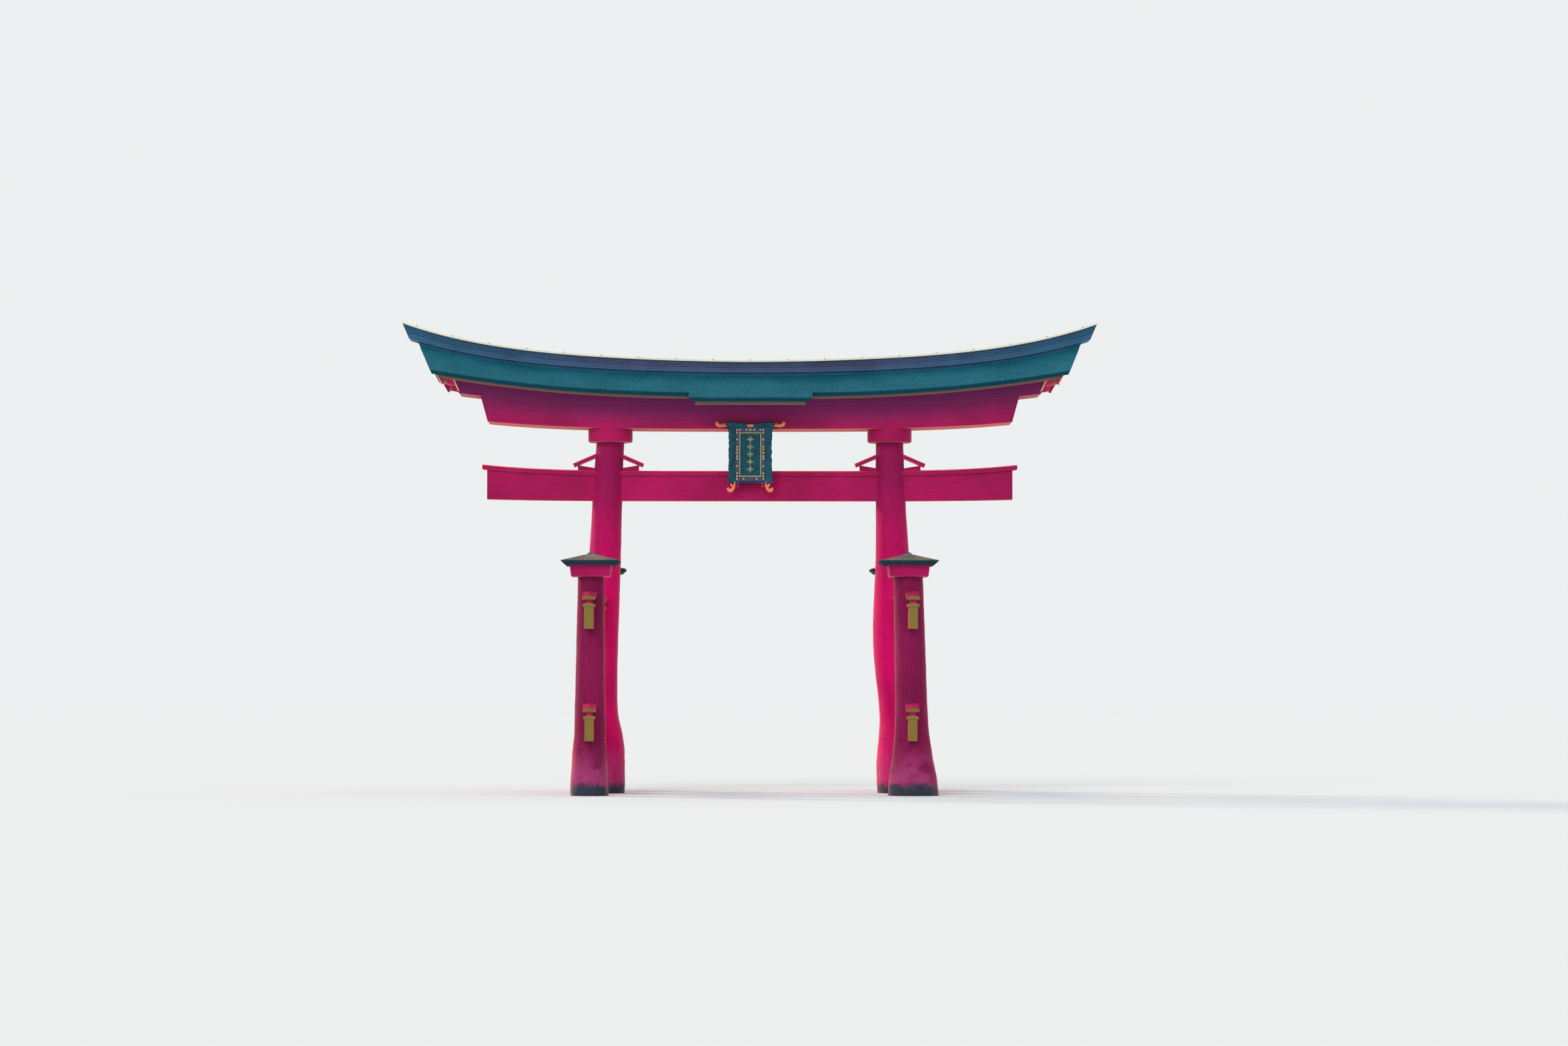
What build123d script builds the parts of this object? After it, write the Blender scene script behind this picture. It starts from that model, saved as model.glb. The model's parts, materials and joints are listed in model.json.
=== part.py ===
from build123d import *
from dataclasses import dataclass
from math import comb, cos, exp, radians, sin
import os

os.makedirs("parts", exist_ok=True)

# Millimetres. X runs along the ridge, the front faces -Y, and Z = 0 is the water line at the feet.

# Main pillars: leaning trunks
pillar_height = 12207
head_reach = 4870
mortise_reach = 5140

# Sleeve posts
sleeve_reach = 5400
sleeve_depth = 3900
sleeve_height = 7383

# Rings on the pillar heads
ring_diameter = 1540
ring_height = 430
ring_edge = 35

# Main tie beam and what lies on it
tie_bottom = 10160
tie_height = 885
tie_width = 450
tie_half_length = 9150
tie_bottom_lift = 56
tie_top_lift = 200
tie_cap_edge = 130
tie_cap_middle = 175
tie_cap_width = 600
tie_cap_half_length = 9315
tie_wedge_length = 560
tie_wedge_width = 300
tie_wedge_tip = 355
tie_wedge_root = 265
tie_wedge_bite = 250
tie_cap_bite = 160
tie_cover_bite = 170
tie_cover_width = 500
tie_cover_reach = 740
tie_cover_underside = 297

# Side tie beams, from the front sleeve post to the back one
side_width = 300
side_height = 728
side_upper_bottom = 5617
side_lower_bottom = 1842
side_lower_reach = 5425
side_end = 4750
side_lower_end = 4850
side_cap_edge = 100
side_cap_middle = 140
side_cap_width = 390
side_wedge_length = 300
side_wedge_width = 230
side_wedge_tip = 262
side_wedge_root = 205
side_wedge_bite = 160
side_cap_bite = 90
side_cap_overhang = 20
side_cover_bite = 110
side_cover_width = 450
side_cover_reach = 385
side_cover_underside = 243
wedge_sink = 60

# Sloping wedge covers
cover_slope = 23.4
cover_edge = 100
cover_middle = 140

# Lintels
lintel_rise = 256
lintel_rise_reach = 9160
lower_lintel_bottom = 12637
lower_lintel_height = 863
lower_lintel_reach = 9040
lower_lintel_depth = 1500
lower_lintel_rake = 15.5
upper_lintel_height = 490
upper_lintel_reach = 9940
upper_lintel_depth = 1560
upper_lintel_rake = 24.5

# Bark roof
eave_height = 13820
eave_rise = 790
eave_rise_reach = 11100
eave_reach_y = 1900
eave_cut_back = 150
bark_edge = 140
roof_top_height = 14500
roof_top_rise = 1090
roof_top_rise_reach = 11600
roof_flat_width = 1000
roof_end_reach = 11040
roof_rake = 26
centre_eave_half_length = 2130
centre_eave_overhang = 430
centre_eave_corner = 170
centre_eave_rake = 50
centre_eave_bite = 60
centre_eave_root = 10
bark_lip = 20

# Roof frame under the bark
frame_end_reach = 10190
frame_end_height = 14000
frame_foot_drop = 10
frame_lap = 30
frame_bite = 60
soffit_depth = 90
soffit_reach_y = 1600
fascia_thickness = 45
centre_fascia_y = 2000
centre_fascia_half_length = 1900
centre_fascia_foot = 13380

# Gable boards, and the purlin ends that carry them
barge_height = 420
barge_foot = 14125
barge_thickness = 90
barge_setback = 130
barge_bite = 80
pendant_thickness = 90
pendant_foot = 14020
pendant_lap = 200
purlin_width = 200
purlin_places = ((1350, 330), (700, 250))

# Ridge
band_height = 120
band_depth = 840
ridge_top_height = 15045
ridge_top_rise = 1373
ridge_top_rise_reach = 12200
ridge_half_length = 12140
ridge_depth = 1000
ridge_rake = 23.5
ridge_cap_thickness = 60
ridge_cap_overhang = 40

# Heads of the sleeve posts
head_block_height = 374
head_block_bottom = 1300
head_block_top = 1390
post_roof_width = 1980
post_roof_inset = 170
post_roof_edge = 155
post_roof_apex = 8150
finial_width = 220
finial_height = 65

# Plaque
plaque_thickness = 180
plaque_bottom = 10790
plaque_back = 450
plaque_tilt = 9.5
strut_width = 420
strut_depth = 360
frame_half_width = 775
pocket_floor = 100
band_size = (1030, 1860)
band_centre = 980
band_level = 135
line_size = (780, 1565)
line_level = 155
line_width = 48
panel_level = 112
scroll_floor = 110
scroll_level = 200
crown_size = (122, 55)
crown_centre = 2010
crown_level = 215
bearer_reach_x = 430
bearer_width = 90
bearer_height = 150
bearer_lip = 45
cleat_height = 260
cleat_level = 11500
spacer_reach_x = 560
spacer_width = 120
spacer_low = 12660
spacer_high = 12800

# Curves: how much each line rises as the square, cube and fourth power of its distance out
lintel_shape = (0.0, 0.42, 0.58)
eave_shape = (0.0, 1.6, -0.6)
roof_shape = (0.7, -0.6, 0.9)
ridge_shape = (0.9, -1.08, 1.18)
tie_shape = (0.0, -0.6, 1.6)
half_span = 12400

# The trunks' seam runs up between the beams
seam_way = (1, 1, 0)
pillar_sections = 16
sleeve_sections = 8


def curve(base, lift, reach, shape):
    """Control heights, from the middle out to half_span, of a line that rises by lift at reach."""
    square, cube, fourth = (
        lift * share * (half_span / reach) ** power for power, share in zip((2, 3, 4), shape)
    )
    gains = (0, 0, square / 6, square / 2 + cube / 4, square + cube + fourth)
    return [base + gain for gain in gains]


def raised(line, gain):
    return [height + gain for height in line]


def blend(first, last, share):
    return [a + (b - a) * share for a, b in zip(first, last)]


def half_line(side, line, inwards=False):
    """Half of a curved line, from the middle outwards or back inwards."""
    points = [(side * half_span * i / 4, height) for i, height in enumerate(line)]
    Bezier(*(points[::-1] if inwards else points))


def elevation(low, high, y):
    """Front view of a long board at y, between two curved lines."""
    with BuildSketch(Plane.XZ.offset(-y)) as view:
        with BuildLine():
            half_line(-1, low, inwards=True)
            half_line(1, low)
            Line((half_span, low[-1]), (half_span, high[-1]))
            half_line(1, high, inwards=True)
            half_line(-1, high)
            Line((-half_span, high[-1]), (-half_span, low[-1]))
        make_face()
    return view.sketch.face()


def end_plane(side, reach, height, rake):
    """Plane of a raked end through (reach, height), leaning outwards with height."""
    lean = radians(rake)
    return Plane(
        origin=(side * reach, 0, height),
        x_dir=(0, side, 0),
        z_dir=(side * cos(lean), 0, -sin(lean)),
    )


def trim_ends(reach, height, rake):
    """Cut both ends of the board being made."""
    for side in (-1, 1):
        split(bisect_by=end_plane(side, reach, height, rake), keep=Keep.BOTTOM)


def curved_board(low, high, depth, centre_y=0.0):
    """Long board of one depth with curved lower and upper lines."""
    with BuildPart() as board:
        extrude(elevation(low, high, centre_y), amount=depth / 2, both=True)
    return board.part


def slope_board(y_inner, low_inner, high_inner, y_outer, low_outer, high_outer):
    """Long board whose lines change evenly from one y to another."""
    with BuildPart() as board:
        inner = elevation(low_inner, high_inner, y_inner)
        outer = elevation(low_outer, high_outer, y_outer)
        loft([inner, outer], ruled=True)
    return board.part


def wedge_block(root, outward, length, bite, width, tip, base):
    """Wedge on a beam: root is the beam's top middle at the face of the post."""
    up = Vector(0, 0, 1)
    outward = Vector(*outward).normalized()
    with BuildPart() as wedge:
        with BuildSketch(Plane(origin=root, x_dir=outward, z_dir=outward.cross(up))):
            with BuildLine():
                Polyline(
                    (-bite, -wedge_sink),
                    (length, -wedge_sink),
                    (length, tip),
                    (-bite, base - (tip - base) * bite / length),
                    close=True,
                )
            make_face()
        extrude(amount=width / 2, both=True)
    return wedge.part


def cover_board(root, outward, reach, bite, width, underside):
    """Sloping gabled board over a wedge; its lower end stands reach out from root."""
    up = Vector(0, 0, 1)
    outward = Vector(*outward).normalized()
    slope = radians(cover_slope)
    inward = outward * -cos(slope) + up * sin(slope)
    foot = Vector(*root) + outward * (reach - cover_middle * sin(slope)) + up * underside
    with BuildPart() as cover:
        with BuildSketch(Plane(origin=foot, x_dir=outward.cross(up), z_dir=inward)):
            with BuildLine():
                Polyline(*gabled(width, cover_edge, cover_middle), close=True)
            make_face()
        extrude(amount=(reach + bite) / cos(slope))
    return cover.part


def gabled(width, edge, middle, base=0.0):
    """Section of a weather board: flat below, ridged along the top."""
    return [
        (-width / 2, base),
        (width / 2, base),
        (width / 2, base + edge),
        (0, base + middle),
        (-width / 2, base + edge),
    ]


sides = {"left": -1, "right": 1}
faces = {"front": -1, "back": 1}


@dataclass
class Log:
    """A natural trunk: where its axis stands, and how its radius grows towards the foot."""

    height: float
    foot_reach: float
    head_reach: float
    head_radius: float
    taper: float
    flare: float
    flare_height: float
    flare_power: float
    lean_power: float = 1
    bulge: float = 0
    bow: float = 0
    bulge_height: float = 5200
    bulge_spread: float = 2400

    def swell(self, height):
        return exp(-(((height - self.bulge_height) / self.bulge_spread) ** 2))

    def reach_at(self, height):
        lean = (self.foot_reach - self.head_reach) * (1 - height / self.height) ** self.lean_power
        return self.head_reach + lean - self.bow * self.swell(height)

    def radius_at(self, height):
        cone = self.head_radius + self.taper * (self.height - height) / 1000
        foot = self.flare * exp(-((height / self.flare_height) ** self.flare_power))
        return cone + foot + self.bulge * self.swell(height)


pillar_logs = {
    "left": Log(
        pillar_height, 5300, head_reach, 480, 18.2, 238, 2418, 6.2, 0.8, bow=-60, bulge_height=4400
    ),
    "right": Log(
        pillar_height, 5450, head_reach, 480, 18.2, 316, 2005, 2.8, 1.5, bulge=175, bow=50
    ),
}
sleeve_logs = {
    "left": Log(sleeve_height, 5430, sleeve_reach, 444, 16, 78, 950, 1.5),
    "right": Log(sleeve_height, 5480, 5325, 495, 11, 274, 1450, 2.0),
}


def trunk(log, side, sections, centre_y=0.0):
    """Loft of evenly spaced round sections of a log."""
    with BuildPart() as solid:
        for i in range(sections + 1):
            height = log.height * i / sections
            spot = (side * log.reach_at(height), centre_y, height)
            with BuildSketch(Plane(origin=spot, x_dir=seam_way, z_dir=(0, 0, 1))):
                Circle(log.radius_at(height))
        loft()
    return solid.part


# Lintels: the same long curves, cut at their raked ends
lower_lintel_low = curve(lower_lintel_bottom, lintel_rise, lintel_rise_reach, lintel_shape)
lintel_joint = raised(lower_lintel_low, lower_lintel_height)
upper_lintel_high = raised(lintel_joint, upper_lintel_height)
lintel_joint_height = lower_lintel_bottom + lower_lintel_height

with BuildPart() as lower_lintel:
    add(curved_board(lower_lintel_low, lintel_joint, lower_lintel_depth))
    trim_ends(lower_lintel_reach, lower_lintel_bottom, lower_lintel_rake)

with BuildPart() as upper_lintel:
    add(curved_board(lintel_joint, upper_lintel_high, upper_lintel_depth))
    trim_ends(upper_lintel_reach, lintel_joint_height, upper_lintel_rake)

# Bark roof: a flat strip along the top and two slopes that end in an undercut edge
roof_flat = roof_flat_width / 2
undercut_y = eave_reach_y - eave_cut_back
roof_top = curve(roof_top_height, roof_top_rise, roof_top_rise_reach, roof_shape)
eave_top = curve(eave_height, eave_rise, eave_rise_reach, eave_shape)
eave_low = raised(eave_top, -bark_edge)


def bark_top(y):
    """Line of the bark's upper face at y from the middle."""
    return blend(roof_top, eave_top, (y - roof_flat) / (eave_reach_y - roof_flat))


def bark_under(y):
    """Line of the bark's underside at y from the middle."""
    fall = (undercut_y - y) / (eave_reach_y - roof_flat)
    return [low + (top - eave) * fall for low, top, eave in zip(eave_low, roof_top, eave_top)]


def height_at(line, x):
    """Height of a curved line at x."""
    share = abs(x) / half_span
    weights = [comb(4, i) * share**i * (1 - share) ** (4 - i) for i in range(5)]
    return sum(weight * height for weight, height in zip(weights, line))


# The barge plane is the bargeboards' inner face; the bark overhangs their outer face
roof_corner_height = eave_height + eave_rise
roof_end = (roof_end_reach, roof_corner_height, roof_rake)
barge_depth = barge_thickness / cos(radians(roof_rake))
barge_end = (roof_end_reach - barge_setback - barge_depth, roof_corner_height, roof_rake)

with BuildPart() as bark_roof:
    add(curved_board(bark_under(roof_flat), roof_top, roof_flat_width))
    for face in (-1, 1):
        add(
            slope_board(
                face * roof_flat,
                bark_under(roof_flat),
                roof_top,
                face * undercut_y,
                eave_low,
                bark_top(undercut_y),
            )
        )
        add(
            slope_board(
                face * undercut_y,
                eave_low,
                bark_top(undercut_y),
                face * eave_reach_y,
                raised(eave_top, -bark_lip),
                eave_top,
            )
        )
    trim_ends(*roof_end)

# Dropped eave at the middle: the same slope, carried further out
centre_eave_y = eave_reach_y + centre_eave_overhang
centre_undercut_y = centre_eave_y - eave_cut_back
centre_eave_low = height_at(bark_under(centre_undercut_y), 0)
centre_eaves = []
for face in faces.values():
    root_y = undercut_y + centre_eave_root
    section = [
        (root_y, height_at(bark_under(root_y), 0)),
        (centre_undercut_y, centre_eave_low),
        (centre_eave_y, height_at(bark_top(centre_eave_y), 0) - bark_lip),
        (centre_eave_y, height_at(bark_top(centre_eave_y), 0)),
        (eave_reach_y, eave_height),
        (undercut_y, eave_height),
        (undercut_y, height_at(bark_under(root_y), 0) + centre_eave_bite),
    ]
    with BuildPart() as centre_eave:
        with BuildSketch(Plane.YZ):
            with BuildLine():
                Polyline(*[(face * y, z) for y, z in section], close=True)
            make_face()
        extrude(amount=centre_eave_half_length, both=True)
        trim_ends(centre_eave_half_length - centre_eave_corner, centre_eave_low, centre_eave_rake)
        add(bark_roof.part, mode=Mode.SUBTRACT)
    centre_eaves.append(centre_eave.part)

# Roof frame: a core over the lintel, and soffit boards out to the bargeboards
lap_line = raised(upper_lintel_high, -frame_lap)
lintel_face_y = upper_lintel_depth / 2
frame_foot = raised(eave_low, -frame_foot_drop)

with BuildPart() as roof_core:
    add(curved_board(lap_line, raised(bark_under(roof_flat), frame_bite), roof_flat_width))
    for face in (-1, 1):
        add(
            slope_board(
                face * roof_flat,
                lap_line,
                raised(bark_under(roof_flat), frame_bite),
                face * lintel_face_y,
                lap_line,
                raised(bark_under(lintel_face_y), frame_bite),
            )
        )
        add(
            slope_board(
                face * lintel_face_y,
                lap_line,
                raised(bark_under(lintel_face_y), frame_bite),
                face * soffit_reach_y,
                frame_foot,
                raised(bark_under(soffit_reach_y), frame_bite),
            )
        )
    trim_ends(frame_end_reach, frame_end_height, roof_rake)

with BuildPart() as roof_frame:
    add(
        curved_board(
            raised(bark_under(roof_flat), -soffit_depth),
            raised(bark_under(roof_flat), frame_bite),
            roof_flat_width,
        )
    )
    for face in (-1, 1):
        add(
            slope_board(
                face * roof_flat,
                raised(bark_under(roof_flat), -soffit_depth),
                raised(bark_under(roof_flat), frame_bite),
                face * soffit_reach_y,
                raised(bark_under(soffit_reach_y), -soffit_depth),
                raised(bark_under(soffit_reach_y), frame_bite),
            )
        )
    trim_ends(*barge_end)
    add(roof_core.part)
    add(upper_lintel.part, mode=Mode.SUBTRACT)
    add(bark_roof.part, mode=Mode.SUBTRACT)

# Ochre line along the eaves and under the dropped ones
fascia_y = soffit_reach_y + fascia_thickness
centre_fascia_outer_y = centre_fascia_y + fascia_thickness
fascias = []
for face in faces.values():
    section = [
        (centre_fascia_y, centre_fascia_foot),
        (centre_fascia_outer_y, centre_fascia_foot),
        (centre_fascia_outer_y, height_at(bark_under(centre_fascia_outer_y), 0)),
        (centre_fascia_y, height_at(bark_under(centre_fascia_y), 0)),
    ]
    with BuildPart() as centre_fascia:
        with BuildSketch(Plane.YZ):
            with BuildLine():
                Polyline(*[(face * y, z) for y, z in section], close=True)
            make_face()
        extrude(amount=centre_fascia_half_length, both=True)
    with BuildPart() as fascia:
        add(
            slope_board(
                face * soffit_reach_y,
                frame_foot,
                bark_under(soffit_reach_y),
                face * fascia_y,
                frame_foot,
                bark_under(fascia_y),
            )
        )
        trim_ends(*barge_end)
    fascias += [fascia.part, centre_fascia.part]

# Bargeboards, pendants and purlin ends at the gables
rake_stretch = 1 / cos(radians(roof_rake))
barges = []
pendants = []
purlins = []
for side in sides.values():
    plane = end_plane(side, *barge_end)
    foot_z = (height_at(bark_under(fascia_y), roof_end_reach) - plane.origin.Z) * rake_stretch
    crown_z = (height_at(bark_under(roof_flat), roof_end_reach) - plane.origin.Z) * rake_stretch
    with BuildPart() as barge:
        with BuildSketch(plane):
            with BuildLine():
                Polyline(
                    (0, crown_z + barge_bite),
                    (roof_flat, crown_z + barge_bite),
                    (fascia_y, foot_z + barge_bite),
                    (fascia_y, (barge_foot - plane.origin.Z) * rake_stretch),
                    (0, crown_z - barge_height),
                )
                mirror(about=Plane.YZ)
            make_face()
        extrude(amount=barge_thickness)
        add(bark_roof.part, mode=Mode.SUBTRACT)
    barges.append(barge.part.solids().sort_by(SortBy.VOLUME)[-1])
    top = crown_z - barge_height + pendant_lap
    foot = (pendant_foot - plane.origin.Z) * rake_stretch
    with BuildPart() as pendant:
        with BuildSketch(plane):
            with BuildLine():
                upper = Polyline(
                    (0, top), (330, top), (360, top - 220), (200, top - 420), (260, top - 640)
                )
                ThreePointArc(upper @ 1, (190, foot + 110), (0, foot))
                mirror(about=Plane.YZ)
            make_face()
        extrude(amount=-pendant_thickness)
    pendants.append(pendant.part)
    for place, purlin_height in purlin_places:
        for face in (-1, 1):
            near, far = place - purlin_width / 2, place + purlin_width / 2
            purlin_foot = raised(bark_under(far), -soffit_depth - purlin_height)
            with BuildPart() as purlin:
                add(
                    slope_board(
                        face * near,
                        purlin_foot,
                        raised(bark_under(near), -soffit_depth),
                        face * far,
                        purlin_foot,
                        raised(bark_under(far), -soffit_depth),
                    )
                )
                split(
                    bisect_by=end_plane(side, frame_end_reach, frame_end_height, roof_rake),
                    keep=Keep.TOP,
                )
                split(bisect_by=plane, keep=Keep.BOTTOM)
            purlins.append(purlin.part)

# Ridge
band_high = raised(roof_top, band_height)
ridge_high = curve(ridge_top_height, ridge_top_rise, ridge_top_rise_reach, ridge_shape)
ridge_box_high = raised(ridge_high, -ridge_cap_thickness)
ridge_end = (ridge_half_length, ridge_top_height + ridge_top_rise, ridge_rake)
with BuildPart() as ridge_band:
    add(curved_board(roof_top, band_high, band_depth))
    trim_ends(*roof_end)

with BuildPart() as ridge_box:
    add(curved_board(band_high, ridge_box_high, ridge_depth))
    trim_ends(*ridge_end)

with BuildPart() as ridge_cap:
    add(curved_board(ridge_box_high, ridge_high, ridge_depth + 2 * ridge_cap_overhang))
    trim_ends(*ridge_end)

# Main tie beam, and its cap boards between and outside the pillars
tie_top = tie_bottom + tie_height
tie_low_line = curve(tie_bottom, tie_bottom_lift, tie_half_length, tie_shape)
tie_top_line = curve(tie_top, tie_top_lift, tie_half_length, tie_shape)
with BuildPart() as main_tie_beam:
    add(curved_board(tie_low_line, tie_top_line, tie_width))
    trim_ends(tie_half_length, tie_bottom, 0)

with BuildPart() as tie_cap_strip:
    for face in (-1, 1):
        add(
            slope_board(
                0,
                tie_top_line,
                raised(tie_top_line, tie_cap_middle),
                face * tie_cap_width / 2,
                tie_top_line,
                raised(tie_top_line, tie_cap_edge),
            )
        )
    trim_ends(tie_cap_half_length, tie_bottom, 0)


def cap_stretch(start, end):
    """Stretch of the tie beam's cap between two places along X."""
    with BuildPart() as stretch:
        add(tie_cap_strip.part)
        split(bisect_by=Plane(origin=(start, 0, 0), z_dir=(1, 0, 0)), keep=Keep.TOP)
        split(bisect_by=Plane(origin=(end, 0, 0), z_dir=(1, 0, 0)), keep=Keep.BOTTOM)
    return stretch.part


# Each post gathers what is let into it, and is cut for all of it at the end
housed = {side_name: [main_tie_beam.part] for side_name in sides}
housed.update({(face_name, side_name): [] for face_name in faces for side_name in sides})

pillar_edges = {}
for side_name, side in sides.items():
    log = pillar_logs[side_name]
    reach, radius = log.reach_at(tie_top), log.radius_at(tie_top)
    pillar_edges[side_name] = [
        side * reach - radius + tie_cap_bite,
        side * reach + radius - tie_cap_bite,
    ]
tie_caps = [
    cap_stretch(-half_span, pillar_edges["left"][0]),
    cap_stretch(pillar_edges["left"][1], pillar_edges["right"][0]),
    cap_stretch(pillar_edges["right"][1], half_span),
]

tie_wedges = []
tie_covers = []
for side_name, side in sides.items():
    log = pillar_logs[side_name]
    reach, radius = log.reach_at(tie_top), log.radius_at(tie_top)
    housed[side_name] += tie_caps
    for outward in (-1, 1):
        root = (side * reach + outward * radius, 0, tie_top)
        way = (outward, 0, 0)
        cover = cover_board(
            root, way, tie_cover_reach, tie_cover_bite, tie_cover_width, tie_cover_underside
        )
        with BuildPart() as wedge:
            add(
                wedge_block(
                    root,
                    way,
                    tie_wedge_length,
                    tie_wedge_bite,
                    tie_wedge_width,
                    tie_wedge_tip,
                    tie_wedge_root,
                )
            )
            add([main_tie_beam.part, cover, *tie_caps], mode=Mode.SUBTRACT)
        tie_wedges.append(wedge.part)
        tie_covers.append(cover)
        housed[side_name] += [wedge.part, cover]

# Side tie beams with their caps, wedges and covers
side_beams = {}
side_caps = []
side_wedges = []
side_covers = []


def beam_run(start, way, near, far):
    """Half of a side tie beam below the line that starts at its top middle."""
    with BuildPart() as beam:
        with BuildSketch(Plane(origin=start, x_dir=way, z_dir=(0, 0, -1))):
            with Locations(((near + far) / 2, 0)):
                Rectangle(far - near, side_width)
        extrude(amount=side_height)
        split(bisect_by=Plane.XZ, keep=Keep.TOP if way.Y < 0 else Keep.BOTTOM)
    return beam.part


def cap_run(start, way, near, far):
    """Gabled cap board on a side tie beam, from near to far along it."""
    across = Vector(0, 0, 1).cross(way)
    with BuildPart() as cap:
        with BuildSketch(Plane(origin=start + way * near, x_dir=across, z_dir=way)):
            with BuildLine():
                Polyline(*gabled(side_cap_width, side_cap_edge, side_cap_middle), close=True)
            make_face()
        extrude(amount=far - near)
    return cap.part


side_levels = (
    ("upper", side_upper_bottom, mortise_reach, sleeve_reach, side_end),
    ("lower", side_lower_bottom, side_lower_reach, side_lower_reach, side_lower_end),
)
for side_name, side in sides.items():
    for level, bottom, inner, outer, end in side_levels:
        top = bottom + side_height
        pillar_radius = pillar_logs[side_name].radius_at(top)
        sleeve_radius = sleeve_logs[side_name].radius_at(top)
        for face_name, face in faces.items():
            start = Vector(side * inner, 0, top)
            through = Vector(side * outer, face * sleeve_depth, top)
            run = (through - start).normalized()
            length = end / abs(run.Y)
            middle = (through - start).length
            beam = beam_run(start, run, -side_width, length)
            caps = [
                cap_run(
                    start,
                    run,
                    pillar_radius - side_cap_bite,
                    middle - sleeve_radius + side_cap_bite,
                ),
                cap_run(
                    start, run, middle + sleeve_radius - side_cap_bite, length + side_cap_overhang
                ),
            ]
            side_beams[(level, face_name, side_name)] = beam
            side_caps += caps
            housed[side_name] += [beam, caps[0]]
            housed[(face_name, side_name)] += [beam, *caps]
            for distance, direction, post in (
                (pillar_radius, 1, side_name),
                (middle - sleeve_radius, -1, (face_name, side_name)),
                (middle + sleeve_radius, 1, (face_name, side_name)),
            ):
                root = start + run * distance
                way = run * direction
                cover = cover_board(
                    root,
                    way,
                    side_cover_reach,
                    side_cover_bite,
                    side_cover_width,
                    side_cover_underside,
                )
                with BuildPart() as wedge:
                    add(
                        wedge_block(
                            root,
                            way,
                            side_wedge_length,
                            side_wedge_bite,
                            side_wedge_width,
                            side_wedge_tip,
                            side_wedge_root,
                        )
                    )
                    add([beam, cover, *caps], mode=Mode.SUBTRACT)
                side_covers.append(cover)
                side_wedges.append(wedge.part)
                housed[post] += [wedge.part, cover]

# Pillars and sleeve posts, cut for what is let into them
pillars = {}
for side_name, side in sides.items():
    with BuildPart() as pillar:
        add(trunk(pillar_logs[side_name], side, pillar_sections))
        add(housed[side_name], mode=Mode.SUBTRACT)
    pillars[side_name] = pillar.part

sleeves = {}
for face_name, face in faces.items():
    for side_name, side in sides.items():
        with BuildPart() as sleeve:
            add(trunk(sleeve_logs[side_name], side, sleeve_sections, face * sleeve_depth))
            add(housed[(face_name, side_name)], mode=Mode.SUBTRACT)
        sleeves[(face_name, side_name)] = sleeve.part

# Rings, scribed to the curved lintel
rings = []
for side in sides.values():
    with BuildPart() as ring:
        with BuildSketch(Plane((side * head_reach, 0, pillar_height))):
            Circle(ring_diameter / 2)
        extrude(amount=ring_height + lintel_rise)
        chamfer(ring.edges().sort_by(Axis.Z)[0], ring_edge)
        add(lower_lintel.part, mode=Mode.SUBTRACT)
    rings.append(ring.part.solids().sort_by(Axis.Z)[0])

# Heads of the sleeve posts
head_top = sleeve_height + head_block_height
head_blocks = []
post_roofs = []
finials = []
for side_name, side in sides.items():
    head_centre = sleeve_logs[side_name].head_reach
    for face in faces.values():
        spot = (side * head_centre, face * sleeve_depth)
        with BuildPart() as head_block:
            with BuildSketch(Plane((*spot, sleeve_height))):
                Rectangle(head_block_bottom, head_block_bottom)
            with BuildSketch(Plane((*spot, head_top))):
                Rectangle(head_block_top, head_block_top)
            loft()
        head_blocks.append(head_block.part)
        roof_low = post_roof_width - 2 * post_roof_inset
        edge_top = head_top + post_roof_edge
        with BuildPart() as post_roof:
            with BuildSketch(Plane((*spot, head_top))):
                Rectangle(roof_low, roof_low)
            with BuildSketch(Plane((*spot, edge_top))):
                Rectangle(post_roof_width, post_roof_width)
            loft(ruled=True)
            with BuildSketch(Plane((*spot, edge_top))):
                Rectangle(post_roof_width, post_roof_width)
            with BuildSketch(Plane((*spot, post_roof_apex))):
                Rectangle(finial_width, finial_width)
            loft(ruled=True)
        post_roofs.append(post_roof.part)
        with BuildPart() as finial:
            with BuildSketch(Plane((*spot, post_roof_apex))):
                Rectangle(finial_width, finial_width)
            extrude(amount=finial_height / 2)
            with BuildSketch(Plane((*spot, post_roof_apex + finial_height / 2))):
                Rectangle(finial_width, finial_width)
            with BuildSketch(Plane((*spot, post_roof_apex + finial_height))):
                Rectangle(finial_width / 4, finial_width / 4)
            loft(ruled=True)
        finials.append(finial.part)

# Strut between tie beam and lintel, notched over the ridged cap
strut_side_foot = tie_cap_middle - (tie_cap_middle - tie_cap_edge) * strut_depth / tie_cap_width
with BuildPart() as plaque_strut:
    with BuildSketch(Plane.YZ):
        with BuildLine():
            Polyline(
                (-strut_depth / 2, tie_top + strut_side_foot),
                (0, tie_top + tie_cap_middle),
                (strut_depth / 2, tie_top + strut_side_foot),
                (strut_depth / 2, lower_lintel_bottom),
                (-strut_depth / 2, lower_lintel_bottom),
                close=True,
            )
        make_face()
    extrude(amount=strut_width / 2, both=True)

# Plaque
plaque_plane = Plane(
    origin=(0, -plaque_back, plaque_bottom),
    x_dir=(1, 0, 0),
    z_dir=(0, -cos(radians(plaque_tilt)), -sin(radians(plaque_tilt))),
)


def plate(outline, low, high):
    """Flat piece on the plaque, between two heights over its back."""
    with BuildPart() as piece:
        with BuildSketch(plaque_plane.offset(low)):
            with BuildLine():
                Polyline(*outline, close=True)
            make_face()
        extrude(amount=high - low)
    return piece.part


def panel_plate(size, low, high, opening=None):
    """Rectangular plate or ring centred on the plaque's band."""
    with BuildPart() as piece:
        with BuildSketch(plaque_plane.offset(low)):
            with Locations((0, band_centre)):
                Rectangle(*size)
                if opening:
                    Rectangle(*opening, mode=Mode.SUBTRACT)
        extrude(amount=high - low)
    return piece.part


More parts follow.
